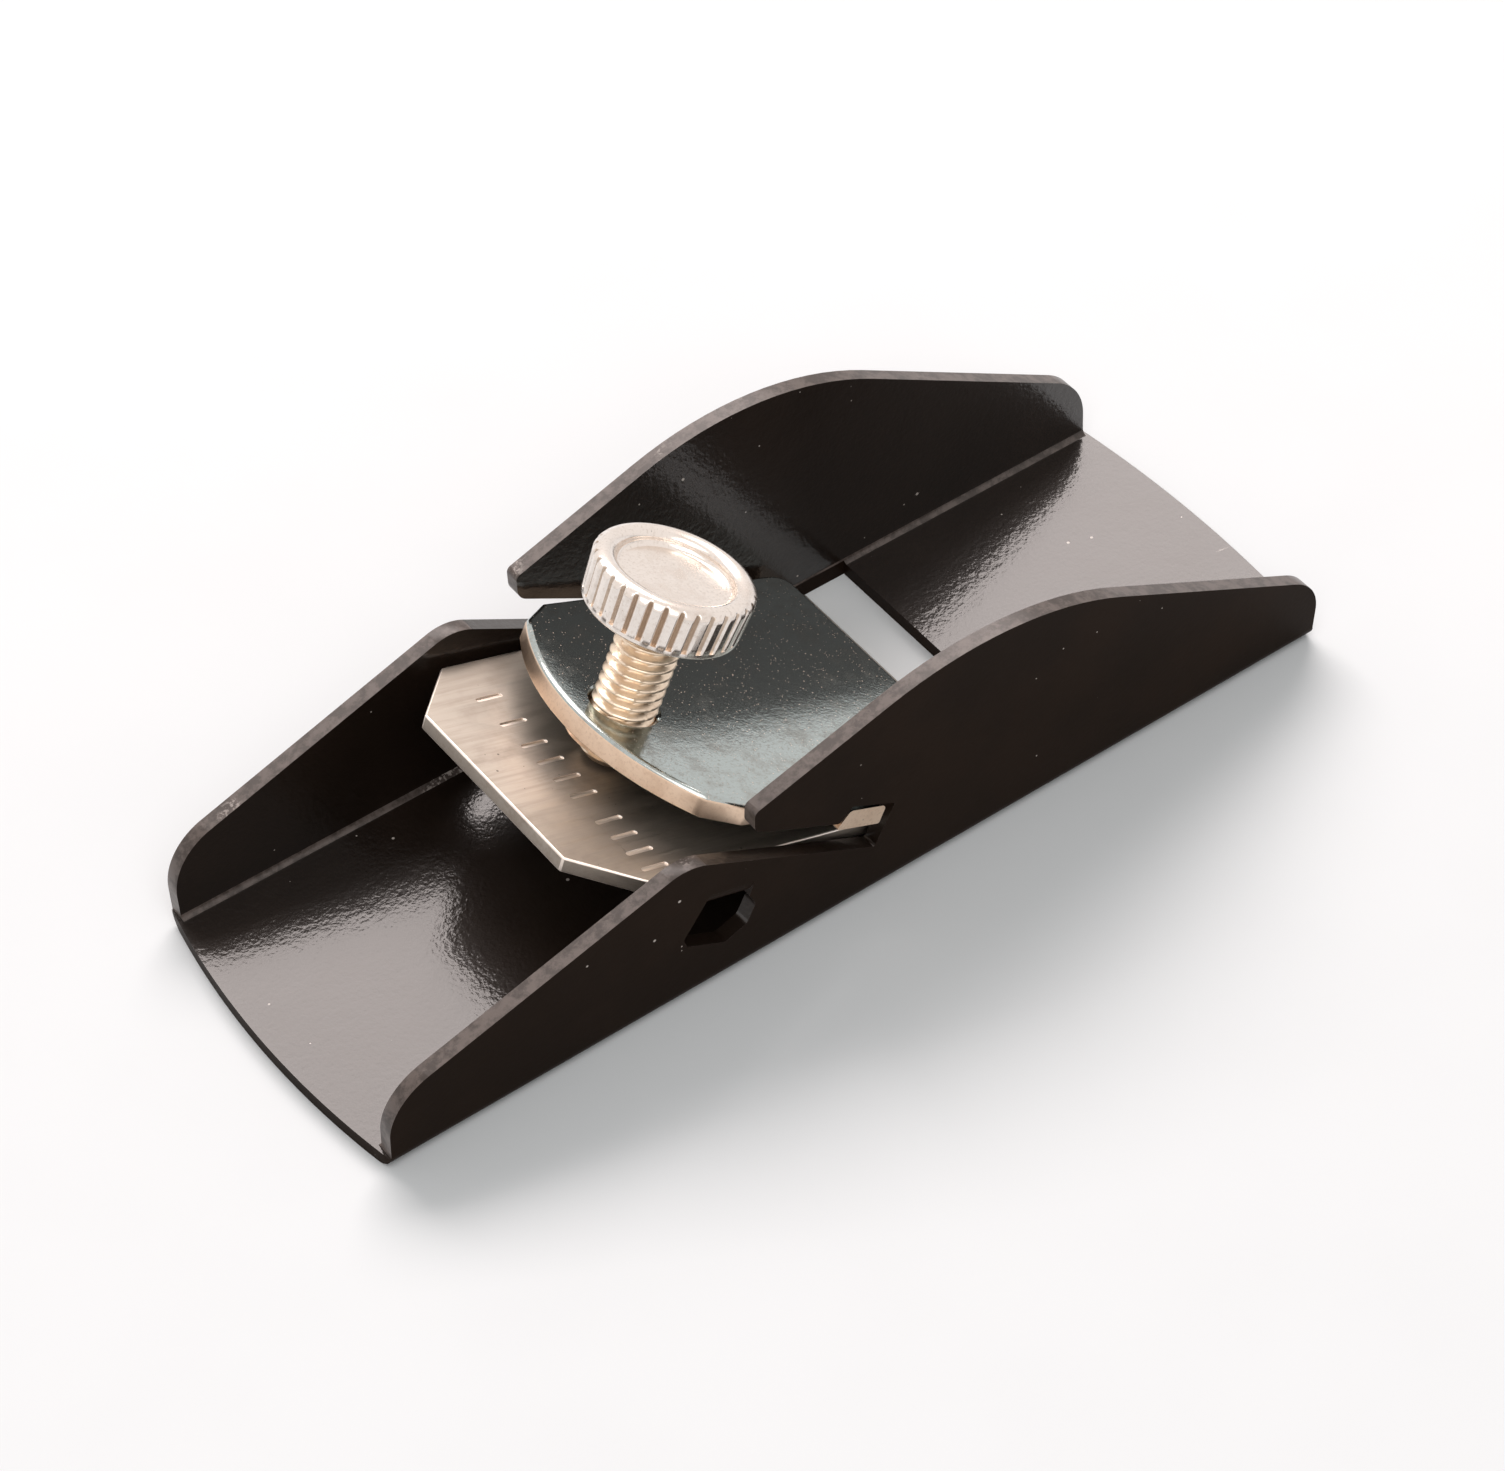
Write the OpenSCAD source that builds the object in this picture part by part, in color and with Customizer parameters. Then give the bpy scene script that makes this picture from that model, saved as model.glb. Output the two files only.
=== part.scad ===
// Small trimming plane of pressed sheet steel.
// Millimetres. X runs from the heel to the toe, Z up from the sole.
// The origin lies on the sole, midway along and across it.

/* [Body] */
// Thickness of the body's sheet
sheet = 1.2; // [0.8:0.1:2]
// From the origin back to the heel ends of the cheeks
heel_l = 41.1; // [36:0.1:48]
// From the origin forward to the toe ends of the cheeks
toe_l = 41.55; // [36:0.05:48]
// How far the sole's round heel edge bows out behind the cheeks
heel_bow = 1.45; // [0.5:0.05:3]
// How far the sole's round toe edge bows out before the cheeks
toe_bow = 1; // [0.5:0.05:3]
// Outward lean of each cheek in degrees
flare = 2.9; // [1:0.1:5]
// Outer radius of the bend between sole and cheek
bend_r = 1.4; // [0.9:0.1:2]
// Inner radius of that bend
bend_inner_r = 0.3; // [0.1:0.05:0.5]
// Height at which the rear slope passes over the origin
rear_h = 19.67; // [19:0.01:21]
// Height at which the front slope would meet the toe end
toe_h = 6.2; // [5.5:0.05:9]
// Rise of the cheeks' top edge from the heel in degrees
rear_slope = 17.2; // [16:0.1:19]
// Fall of the cheeks' top edge to the toe in degrees
front_slope = 29.3; // [26:0.1:31]
// Radius of the hump between both slopes
hump_r = 26.5; // [18:0.5:28]
// Corner radius of the cheeks at the heel
heel_r = 4.8; // [2:0.1:6]
// Corner radius of the cheeks at the toe
toe_r = 5; // [2:0.1:6]
// Radius of the low peak behind the slot
peak_r = 3.9; // [1:0.1:6]
// Where the blunt rear tip above the slot ends
tip_x = -10.85; // [-11.6:0.05:-9]
// Radius under that tip, at the mouth of the slot
tip_low_r = 1.3; // [0.3:0.1:1.5]
// Radius on top of that tip
tip_top_r = 0.5; // [0.1:0.1:0.6]

/* [Slot for the lever cap] */
// Fall of the slot towards the toe in degrees
slot_slope = 30; // [28:0.5:32]
// Width of the slot
slot_h = 2.5; // [2:0.1:3]
// Depth of the pocket that holds the lug above the slot
pocket_h = 1.5; // [1.2:0.05:1.8]
// Play above the lug in its pocket
lug_top_gap = 0.15; // [0.1:0.05:0.3]
// Play behind the lug in its pocket
lug_rear_gap = 0.15; // [0.1:0.05:0.3]
// Room between the lug and the closed end of the slot
lug_front_gap = 0.8; // [0.4:0.05:1.2]

/* [Cutter and its bed] */
// Width of the cutter
cutter_w = 25.4; // [22:0.1:30]
// Thickness of the cutter
cutter_t = 1.2; // [0.9:0.1:1.6]
// Length of the cutter along its underside
cutter_l = 39.1; // [36:0.1:42]
// Width left at the cutter's rear edge between its cut corners
cutter_rear_w = 16.8; // [10:0.1:20]
// Length of those cut corners along the cutter
cutter_corner_l = 4.4; // [2:0.1:6]
// Slope of the bed in degrees
bed_slope = 19; // [18:0.25:20.5]
// Where the cutting edge stands from the origin
edge_x = 14.24; // [13:0.02:16]
// Height of the cutting edge above the underside of the sole
edge_z = 0.05; // [0.02:0.01:0.15]
// Angle of the ground bevel to the cutter's underside
bevel_angle = 27; // [20:1:35]
// Play between the cutter and each cheek at the sole
cutter_side_gap = 0.1; // [0.05:0.05:0.3]
// Play between the cutter and what it lies on
seat_gap = 0.1; // [0.05:0.01:0.15]
// Open length of the mouth before the cutting edge
mouth_front = 3.72; // [1:0.02:5]
// Where the middle of the tabs lies behind the cutting edge
tab_back = 28.5; // [26:0.1:31]
// Width of the tabs at their bend
tab_w = 4; // [3:0.1:5]
// Flat reach of the tabs past their bend
tab_reach = 2.75; // [2:0.05:3.5]
// How far an ear of each tab spreads forward past its bend
tab_ear = 1.3; // [0.5:0.1:1.6]
// Size of the cut corners behind that ear
tab_corner = 0.4; // [0.2:0.05:0.6]
// Depth of the hole below the bed that each tab leaves
hole_h = 5.1; // [4.5:0.1:5.5]
// How much wider than the tab that hole is on either side
hole_spread = 0.95; // [0.5:0.05:1.2]

/* [Lever cap] */
// Slope of the lever cap in degrees
cap_slope = 25; // [24.5:0.25:26.5]
// Thickness of the lever cap
cap_t = 1.8; // [1.4:0.05:2]
// Length of the lever cap
cap_l = 29.7; // [28:0.1:32]
// How far its front edge stays behind the cutting edge
cap_setback = 3.78; // [3.2:0.02:5]
// Play between the lever cap and each cheek at the sole
cap_side_gap = 0.45; // [0.2:0.05:0.8]
// Length of its straight sides behind the cut rear corners
cap_rear_l = 3; // [2.5:0.1:4]
// Radius of its round rear edge, seen from above
cap_rear_r = 18.5; // [17.5:0.1:22]
// Width left at the rear between its cut corners
cap_rear_w = 21.6; // [18:0.1:23]
// Where the cut rear corners meet the straight sides
cap_side_end = 23.6; // [22:0.1:25]
// Corner radius at the front
cap_front_r = 1.6; // [0.5:0.1:3]
// Radius of the top rim along the rear edge
cap_rim_r = 0.6; // [0.2:0.05:0.9]
// From the front edge back to the front side of the lugs
lug_back = 12.15; // [11.5:0.05:13]
// Length of the lugs at their top
lug_l = 3.45; // [3:0.05:4]
// How much longer the lugs are at their underside
lug_rake = 0.7; // [0.3:0.05:1]
// How far the lugs' top lies below the top of the cap
lug_drop = 0.15; // [0.05:0.05:0.3]
// Outer width of the collar round the tapped hole
collar_d = 7.4; // [6.8:0.1:8.4]
// Height of the collar below the cap
collar_h = 0.9; // [0.5:0.05:1.2]
// Radius of the collar's lower edge
collar_edge_r = 0.5; // [0.2:0.05:0.6]

/* [Thumbscrew] */
// From the cap's front edge back to the screw
screw_back = 25.4; // [24:0.1:26]
// Width over the thread
screw_d = 4.8; // [4:0.1:5]
// Radial play of the screw in the cap
screw_play = 0.06; // [0.03:0.01:0.1]
// Bare length between the cap and the head
stem_l = 7.85; // [5:0.05:12]
// Play between the screw's end and the cutter
tip_gap = 0.1; // [0.05:0.05:0.2]
// Bevel round the screw's end
tip_bevel = 0.8; // [0.3:0.05:1.2]
// Width over the head's rim
head_d = 12; // [10:0.1:14]
// Height of the head
head_h = 3.8; // [3.2:0.1:5]
// How much narrower the head is at its underside
head_taper = 0.5; // [0.1:0.1:1]
// Height of the plain flange under the flutes
flange_h = 0.4; // [0.2:0.05:0.6]
// Radius of the head's top rim
head_rim_r = 0.9; // [0.4:0.1:1.1]
// Number of flutes
flutes = 32; // [20:1:40]
// Depth of the flutes
flute_depth = 0.35; // [0.2:0.05:0.45]
// Width of the dish in the head's top
dish_d = 9.2; // [7:0.1:9.6]
// Depth of that dish
dish_h = 1; // [0.4:0.1:1.2]
// Radius round the dish's floor
dish_r = 0.5; // [0.2:0.1:0.8]
// Width of the screw's spigot inside the head
spigot_d = 3.4; // [2.4:0.1:3.6]
// Length of that spigot
spigot_l = 1.5; // [1:0.1:1.8]

/* [Hidden] */
$fn = 96;
arc_error = 0.01;
steel_black = [0.08, 0.07, 0.07];
steel_bare = [0.6, 0.59, 0.57];
nickel = [0.78, 0.75, 0.71];

inner_w = cutter_w + 2 * cutter_side_gap;
sole_w = inner_w + 2 * sheet;
lean = tan(flare);
heel_x = -heel_l;
toe_x = toe_l;
far = 60;
over = 1;

// The bed's own frame starts at the cutting edge, with the cutter's underside at height 0.
function on_bed(x, z) = [edge_x + x * cos(bed_slope) + z * sin(bed_slope),
                         edge_z - x * sin(bed_slope) + z * cos(bed_slope)];

// The cap's own frame starts at the lower front edge of the cap.
cap_foot = on_bed(-cap_setback, cutter_t + seat_gap);
function on_cap(x, z) = [cap_foot[0] + x * cos(cap_slope) + z * sin(cap_slope),
                         cap_foot[1] - x * sin(cap_slope) + z * cos(cap_slope)];
cap_half = inner_w / 2 - cap_side_gap;
cap_rise = cap_slope - bed_slope;
lug_top = cap_t - lug_drop;
lug_rear_top = -lug_back - lug_l;
lug_rear_low = lug_rear_top - lug_rake;
lug_corner_r = 0.4;

// Along and across the slot, measured from the origin.
function along(p) = p[0] * cos(slot_slope) - p[1] * sin(slot_slope);
function across(p) = p[0] * sin(slot_slope) + p[1] * cos(slot_slope);
function in_slot(a, c) = [a * cos(slot_slope) + c * sin(slot_slope),
                          -a * sin(slot_slope) + c * cos(slot_slope)];
lug_front_corner = on_cap(-lug_back, lug_top);
lug_rear_corner = on_cap(lug_rear_top, lug_top);
lug_rear_foot = on_cap(lug_rear_low, 0);
pocket_top = across(lug_front_corner) + lug_top_gap;
slot_top = pocket_top - pocket_h;
slot_low = slot_top - slot_h;
slot_end = along(lug_front_corner) + lug_front_gap;
pocket_rear = along(lug_rear_corner) - lug_rear_gap;
pocket_lean = (along(lug_rear_corner) - along(lug_rear_foot))
            / (across(lug_rear_corner) - across(lug_rear_foot));
function pocket_at(c) = pocket_rear + pocket_lean * (c - pocket_top);
end_lean = -tan(cap_rise);
function end_at(c) = slot_end + end_lean * (c - pocket_top);

// Heights of the cheeks' straight top edges, and where they meet other lines.
function rear_line(x) = rear_h + x * tan(rear_slope);
function front_line(x) = toe_h + (toe_x - x) * tan(front_slope);
function slot_line(c, x) = (c - x * sin(slot_slope)) / cos(slot_slope);
heel_h = rear_line(heel_x);
hump_x = (front_line(0) - rear_h) / (tan(rear_slope) + tan(front_slope));
peak_x = (slot_line(slot_low, 0) - rear_h) / (tan(rear_slope) + tan(slot_slope));
sole_overhang = 0.1;

// Mouth, tabs and the holes that the tabs leave in the cheeks.
lip_x = edge_x - (sheet + seat_gap / cos(bed_slope) - edge_z) / tan(bed_slope);
mouth_x = edge_x + mouth_front;
tab_thinning = 0.06;
tab_t = sheet - 2 * tab_thinning;
tab_inner_r = bend_inner_r + tab_thinning;
tab_outer_r = tab_inner_r + tab_t;
tab_bend_z = tab_inner_r - seat_gap;
tab_mid = on_bed(-tab_back, tab_bend_z);
tab_face = inner_w / 2 + lean * tab_mid[1];
tab_turn = atan(lean * sin(bed_slope));

screw_tip = -(seat_gap + screw_back * sin(cap_rise)) / cos(cap_rise) + tip_gap
          + (screw_d / 2 - tip_bevel) * tan(cap_rise);
head_z = cap_t + stem_l;
head_play = 0.05;
flute_r = 0.45;

// Outlines with rounded corners. Each arc strays from its circle by no more than arc_error.
function unit(v) = v / norm(v);
function half_angle(p, a, b) = acos(unit(a - p) * unit(b - p)) / 2;
function bearing(v) = atan2(v[1], v[0]);
function corner_arc(p, a, b, r) =
    let (h = half_angle(p, a, b),
         centre = p + unit(unit(a - p) + unit(b - p)) * r / sin(h),
         from = bearing(p + unit(a - p) * r / tan(h) - centre),
         to = bearing(p + unit(b - p) * r / tan(h) - centre),
         turn = to - from - 360 * round((to - from) / 360),
         steps = ceil(abs(turn) / (2 * acos(1 - arc_error / r))))
    [for (i = [0:steps]) centre + r * [cos(from + turn * i / steps), sin(from + turn * i / steps)]];

module rounded(pts, radii) {
    n = len(pts);
    polygon([for (i = [0:n - 1]) each radii[i] > 0
        ? corner_arc(pts[i], pts[(i + n - 1) % n], pts[(i + 1) % n], radii[i]) : [pts[i]]]);
}

// Stands a drawing of length and height upright, centred across the plane.
module upright(w) {
    translate([0, w / 2, 0]) rotate([90, 0, 0]) linear_extrude(w) children();
}

module bed_frame() {
    translate([edge_x, 0, edge_z]) rotate([0, bed_slope, 0]) children();
}

module cap_frame() {
    translate([cap_foot[0], 0, cap_foot[1]]) rotate([0, cap_slope, 0]) children();
}

module channel_section(top) {
    h_in = inner_w / 2;
    h_out = sole_w / 2;
    rounded([[-h_out - lean * top, top], [-h_out, 0], [h_out, 0], [h_out + lean * top, top],
             [h_in + lean * top, top], [h_in + lean * sheet, sheet],
             [-h_in - lean * sheet, sheet], [-h_in - lean * top, top]],
            [0, bend_r, bend_r, 0, 0, bend_inner_r, bend_inner_r, 0]);
}

// Both cheeks seen from the side, with the sole running past their ends.
module cheek_outline() {
    rounded([[-far, -over], [far, -over], [far, sheet], [toe_x, sheet], [toe_x, toe_h],
             [hump_x, front_line(hump_x)], [tip_x, rear_line(tip_x)],
             [tip_x, slot_line(slot_top, tip_x)], in_slot(pocket_at(slot_top), slot_top),
             in_slot(pocket_rear, pocket_top), in_slot(end_at(pocket_top), pocket_top),
             in_slot(end_at(slot_low), slot_low), [peak_x, rear_line(peak_x)],
             [heel_x, heel_h], [heel_x, sheet], [-far, sheet]],
            [0, 0, 0, 0, toe_r, hump_r, tip_top_r, tip_low_r, 0, 0, 0, 0, peak_r, heel_r, 0, 0]);
}

// Both round ends, as arcs whose chords are a little wider than the cheeks.
module sole_outline() {
    chord = sole_w / 2 + lean * max(heel_h, toe_h) + sole_overhang;
    heel_arc = (pow(chord, 2) + pow(heel_bow, 2)) / (2 * heel_bow);
    toe_arc = (pow(chord, 2) + pow(toe_bow, 2)) / (2 * toe_bow);
    intersection() {
        translate([heel_x - heel_bow + heel_arc, 0]) circle(heel_arc, $fn = 360);
        translate([toe_x + toe_bow - toe_arc, 0]) circle(toe_arc, $fn = 360);
    }
}

// Outline of the hole in a cheek, in the bed's frame; the tab's bend closes its top.
module tab_hole() {
    w = tab_w / 2;
    polygon([[-w - hole_spread, -0.7 * hole_h], [-w - hole_spread / 2, -0.85 * hole_h],
             [w - hole_spread, -hole_h], [w + hole_spread, -0.75 * hole_h],
             [w + hole_spread, -0.4 * hole_h], [w, -0.2 * hole_h], [w, tab_bend_z], [-w, tab_bend_z]]);
}

module tab(side) {
    w = tab_w / 2;
    translate([-tab_back, side * (tab_face - bend_inner_r), tab_bend_z])
    rotate([0, 0, -side * tab_turn]) scale([1, -side, 1]) intersection() {
        rotate([90, 0, 90]) translate([0, 0, -tab_w]) linear_extrude(2 * tab_w)
            polygon([for (a = [180:15:270]) tab_outer_r * [cos(a), sin(a)],
                     [2 * tab_reach, -tab_outer_r], [2 * tab_reach, -tab_inner_r],
                     for (a = [270:-15:180]) tab_inner_r * [cos(a), sin(a)]]);
        translate([0, 0, -2 * tab_outer_r]) linear_extrude(4 * tab_outer_r)
            polygon([[-w, -2 * tab_outer_r], [w, -2 * tab_outer_r], [w, tab_corner / 4],
                     [w + 0.85 * tab_ear, tab_corner], [w + tab_ear, tab_ear], [w, tab_reach],
                     [tab_corner - w, tab_reach], [-w - tab_corner, tab_reach - 1.5 * tab_corner],
                     [-w, tab_corner / 4]]);
    }
}

module plane_body() {
    top = front_line(hump_x) + over;
    color(steel_black) {
        difference() {
            intersection() {
                rotate([90, 0, 90]) translate([0, 0, -far]) linear_extrude(2 * far)
                    channel_section(top);
                upright(2 * sole_w) cheek_outline();
                translate([0, 0, -over]) linear_extrude(top + 2 * over) sole_outline();
            }
            translate([lip_x, -inner_w / 2, -over])
                cube([mouth_x - lip_x, inner_w, sheet + 2 * over]);
            bed_frame() translate([-tab_back, 0, 0]) upright(2 * sole_w) tab_hole();
        }
        for (side = [-1, 1]) bed_frame() tab(side);
    }
}

module cutter() {
    w = cutter_w / 2;
    r = cutter_rear_w / 2;
    bevel_l = cutter_t / tan(bevel_angle);
    color(steel_bare) bed_frame() difference() {
        linear_extrude(cutter_t) polygon([[-cutter_l, -r], [-cutter_l + cutter_corner_l, -w],
            [0, -w], [0, w], [-cutter_l + cutter_corner_l, w], [-cutter_l, r]]);
        upright(2 * cutter_w) polygon([[0, 0], [-bevel_l, cutter_t], [-bevel_l, 2 * cutter_t],
            [bevel_l, 2 * cutter_t], [bevel_l, 0]]);
    }
}

module lever_cap() {
    lug_reach = sole_w / 2 + lean * on_cap(-lug_back - lug_l / 2, lug_top / 2)[1];
    rear = cap_rear_w / 2;
    corner_x = cap_rear_l - cap_l;
    color(nickel) cap_frame() difference() {
        union() {
            intersection() {
                linear_extrude(cap_t) rounded([[0, -cap_half], [0, cap_half],
                    [-cap_side_end, cap_half], [corner_x, rear], [-cap_l - over, rear],
                    [-cap_l - over, -rear], [corner_x, -rear], [-cap_side_end, -cap_half]],
                    [cap_front_r, cap_front_r, 0, 0, 0, 0, 0, 0]);
                translate([cap_rear_r - cap_l, 0, 0]) rotate_extrude($fn = 180)
                    rounded([[0, 0], [cap_rear_r, 0], [cap_rear_r, cap_t], [0, cap_t]],
                            [0, 0, cap_rim_r, 0]);
            }
            upright(2 * lug_reach) rounded([[-lug_back, 0], [-lug_back, lug_top],
                [lug_rear_top, lug_top], [lug_rear_low, 0]], [0, lug_corner_r, lug_corner_r, 0]);
            translate([-screw_back, 0, -collar_h]) rotate_extrude()
                rounded([[0, 0], [collar_d / 2, 0], [collar_d / 2, collar_h + cap_t / 2],
                         [0, collar_h + cap_t / 2]], [0, collar_edge_r, 0, 0]);
        }
        translate([-screw_back, 0, -2 * collar_h])
            cylinder(d = screw_d + 2 * screw_play, h = 2 * collar_h + cap_t + over);
    }
}

module thumbscrew_shank() {
    r = screw_d / 2;
    color(nickel) cap_frame() translate([-screw_back, 0, 0]) {
        translate([0, 0, screw_tip]) cylinder(r1 = r - tip_bevel, r2 = r, h = tip_bevel);
        translate([0, 0, screw_tip + tip_bevel])
            cylinder(r = r, h = head_z - head_play - screw_tip - tip_bevel);
        translate([0, 0, head_z - 2 * head_play])
            cylinder(d = spigot_d, h = spigot_l + 2 * head_play);
    }
}

module thumbscrew_head() {
    r = head_d / 2;
    slant = atan(head_taper / 2 / head_h);
    color(nickel) cap_frame() translate([-screw_back, 0, head_z]) difference() {
        rotate_extrude() difference() {
            polygon([[0, 0], [r - head_taper / 2, 0], for (a = [0:30:90])
                [r - head_rim_r * (1 - cos(a)), head_h - head_rim_r * (1 - sin(a))], [0, head_h]]);
            rounded([[0, head_h - dish_h], [dish_d / 2 - dish_r, head_h - dish_h],
                     [dish_d / 2, head_h + over], [0, head_h + over]], [0, dish_r, 0, 0]);
        }
        translate([0, 0, -over])
            cylinder(d = spigot_d + 2 * head_play, h = over + spigot_l + head_play);
        for (i = [0:flutes - 1]) rotate([0, 0, i * 360 / flutes])
            translate([r - head_taper / 2 + flute_r - flute_depth, 0, flange_h])
            rotate([0, slant, 0]) cylinder(r = flute_r, h = head_h, $fn = 24);
    }
}

plane_body();
cutter();
lever_cap();
thumbscrew_shank();
thumbscrew_head();
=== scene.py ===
import logging
import math
from dataclasses import dataclass, field
from enum import Enum, IntEnum

import bmesh
import bpy
from mathutils import Matrix, Vector


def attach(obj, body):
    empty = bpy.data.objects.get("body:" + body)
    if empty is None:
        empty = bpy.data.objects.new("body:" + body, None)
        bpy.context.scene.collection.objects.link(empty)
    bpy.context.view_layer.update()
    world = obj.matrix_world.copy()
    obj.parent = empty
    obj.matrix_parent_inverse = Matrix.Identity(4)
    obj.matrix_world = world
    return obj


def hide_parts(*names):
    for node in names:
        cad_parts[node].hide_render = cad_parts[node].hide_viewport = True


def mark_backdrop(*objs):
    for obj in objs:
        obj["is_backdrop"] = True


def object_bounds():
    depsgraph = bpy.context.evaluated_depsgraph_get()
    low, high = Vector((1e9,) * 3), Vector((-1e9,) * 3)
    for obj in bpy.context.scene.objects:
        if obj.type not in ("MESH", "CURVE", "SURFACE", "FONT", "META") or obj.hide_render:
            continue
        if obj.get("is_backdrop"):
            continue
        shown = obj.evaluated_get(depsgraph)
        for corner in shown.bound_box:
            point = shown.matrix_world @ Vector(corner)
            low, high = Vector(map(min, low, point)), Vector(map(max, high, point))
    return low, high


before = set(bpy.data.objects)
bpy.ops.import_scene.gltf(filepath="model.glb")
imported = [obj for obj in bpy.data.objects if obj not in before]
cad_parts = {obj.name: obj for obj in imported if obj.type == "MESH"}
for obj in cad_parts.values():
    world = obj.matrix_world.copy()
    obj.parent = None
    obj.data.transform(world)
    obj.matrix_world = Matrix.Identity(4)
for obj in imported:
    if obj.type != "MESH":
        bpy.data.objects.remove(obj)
CAD_BOX = [list(corner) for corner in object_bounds()]

"""Looks of a small trimming plane: pieces, finishes, studio and camera, in the CAD's frame.

Drawings are in millimetres; meshes are turned into metres when they are made.
"""

LOG = logging.getLogger("trimming_plane")
MM = 0.001
# How far, in millimetres, a tool solid reaches past what it cuts.
OVER = 1.0
Point = tuple[float, float]
Triple = tuple[float, float, float]
Colour = Triple
Socket = bpy.types.NodeSocket
Solid = bpy.types.Object


class Body(Enum):
    """CAD bodies that the pieces ride on."""

    PLANE = "body"
    BLADE = "blade"
    CAP = "cap"
    SCREW = "screw"
    KNOB = "knob"


class Axis(Enum):
    """Which axis a flat drawing is pulled out along."""

    X = "x"
    Y = "y"
    Z = "z"


class Join(Enum):
    """What a tool solid does to a piece."""

    ADD = "UNION"
    CUT = "DIFFERENCE"
    CLIP = "INTERSECT"


class Sum(Enum):
    """Sums that a finish does on its values."""

    ADD = "ADD"
    TIMES = "MULTIPLY"
    LARGER = "MAXIMUM"
    BELOW = "LESS_THAN"


def tan(angle: float) -> float:
    """Tangent of an angle in degrees."""
    return math.tan(math.radians(angle))


def turned(p: Point, slope: float) -> Point:
    """Turns a point in X and Z by that many degrees, so that X falls towards the toe."""
    a = math.radians(slope)
    return (p[0] * math.cos(a) + p[1] * math.sin(a), -p[0] * math.sin(a) + p[1] * math.cos(a))


def shifted(p: Point, by: Point) -> Point:
    """Moves a point by another."""
    return (p[0] + by[0], p[1] + by[1])


@dataclass(frozen=True)
class Sizes:
    """Sizes of the plane in millimetres and degrees, as in the CAD."""

    sheet: float = 1.2
    heel_x: float = -41.1
    toe_x: float = 41.55
    heel_bow: float = 1.45
    toe_bow: float = 1.0
    flare: float = 2.9
    bend_r: float = 1.4
    bend_inner_r: float = 0.3
    rear_h: float = 19.67
    toe_h: float = 6.2
    rear_slope: float = 17.2
    front_slope: float = 29.3
    hump_r: float = 26.5
    heel_r: float = 4.8
    toe_r: float = 5.0
    peak_r: float = 3.9
    tip_x: float = -10.85
    tip_low_r: float = 1.3
    tip_top_r: float = 0.5
    slot_slope: float = 30.0
    slot_h: float = 2.5
    pocket_h: float = 1.5
    lug_top_gap: float = 0.15
    lug_rear_gap: float = 0.15
    lug_front_gap: float = 0.8
    cutter_w: float = 25.4
    cutter_t: float = 1.2
    cutter_l: float = 39.1
    cutter_rear_w: float = 16.8
    cutter_corner_l: float = 4.4
    bed_slope: float = 19.0
    edge_x: float = 14.24
    edge_z: float = 0.05
    bevel_angle: float = 27.0
    cutter_side_gap: float = 0.1
    seat_gap: float = 0.1
    mouth_front: float = 3.72
    tab_back: float = 28.5
    tab_w: float = 4.0
    tab_reach: float = 2.75
    tab_thinning: float = 0.06
    tab_ear: float = 1.3
    tab_corner: float = 0.4
    cap_slope: float = 25.0
    cap_t: float = 1.8
    cap_l: float = 29.7
    cap_setback: float = 3.78
    cap_side_gap: float = 0.45
    cap_rear_r: float = 18.5
    cap_rear_w: float = 21.6
    cap_side_end: float = 23.6
    cap_front_r: float = 1.6
    lug_back: float = 12.15
    lug_l: float = 3.45
    lug_rake: float = 0.7
    lug_drop: float = 0.15
    collar_d: float = 7.4
    collar_h: float = 0.9
    screw_back: float = 25.4
    screw_d: float = 4.8
    screw_play: float = 0.06
    pitch: float = 0.8
    stem_l: float = 7.85
    tip_gap: float = 0.1
    tip_bevel: float = 0.8
    head_d: float = 12.0
    head_h: float = 3.8
    head_taper: float = 0.5
    flange_h: float = 0.4
    head_rim_r: float = 0.9
    flutes: int = 32
    flute_depth: float = 0.35
    dish_d: float = 9.2
    dish_h: float = 1.0
    head_play: float = 0.05
    spigot_d: float = 3.4
    spigot_l: float = 1.5

    @property
    def inner_w(self) -> float:
        """Width between the cheeks at the sole."""
        return self.cutter_w + 2 * self.cutter_side_gap

    @property
    def lean(self) -> float:
        """Outward lean of the cheeks per unit of height."""
        return tan(self.flare)

    def on_bed(self, x: float, z: float) -> Point:
        """Point that lies x along the bed from the cutting edge and z above the cutter's underside."""
        return shifted(turned((x, z), self.bed_slope), (self.edge_x, self.edge_z))

    def on_cap(self, x: float, z: float) -> Point:
        """Point that lies x along the lever cap from its front edge and z above its underside."""
        foot = self.on_bed(-self.cap_setback, self.cutter_t + self.seat_gap)
        return shifted(turned((x, z), self.cap_slope), foot)

    def slot_point(self, along: float, across: float) -> Point:
        """Point given along the slot's fall and across it, from the origin."""
        return turned((along, across), self.slot_slope)

    def slot_coords(self, p: Point) -> Point:
        """Distances along and across the slot of a point."""
        return turned(p, -self.slot_slope)

    def rear_line(self, x: float) -> float:
        """Height of the cheeks' rear slope at x."""
        return self.rear_h + x * tan(self.rear_slope)

    def front_line(self, x: float) -> float:
        """Height of the cheeks' front slope at x."""
        return self.toe_h + (self.toe_x - x) * tan(self.front_slope)

    def bed_matrix(self) -> Matrix:
        """Frame of the bed, in metres."""
        return (Matrix.Translation((self.edge_x * MM, 0, self.edge_z * MM))
                @ Matrix.Rotation(math.radians(self.bed_slope), 4, "Y"))

    def cap_matrix(self) -> Matrix:
        """Frame of the lever cap, in metres."""
        x, z = self.on_cap(0, 0)
        return (Matrix.Translation((x * MM, 0, z * MM))
                @ Matrix.Rotation(math.radians(self.cap_slope), 4, "Y"))


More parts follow.
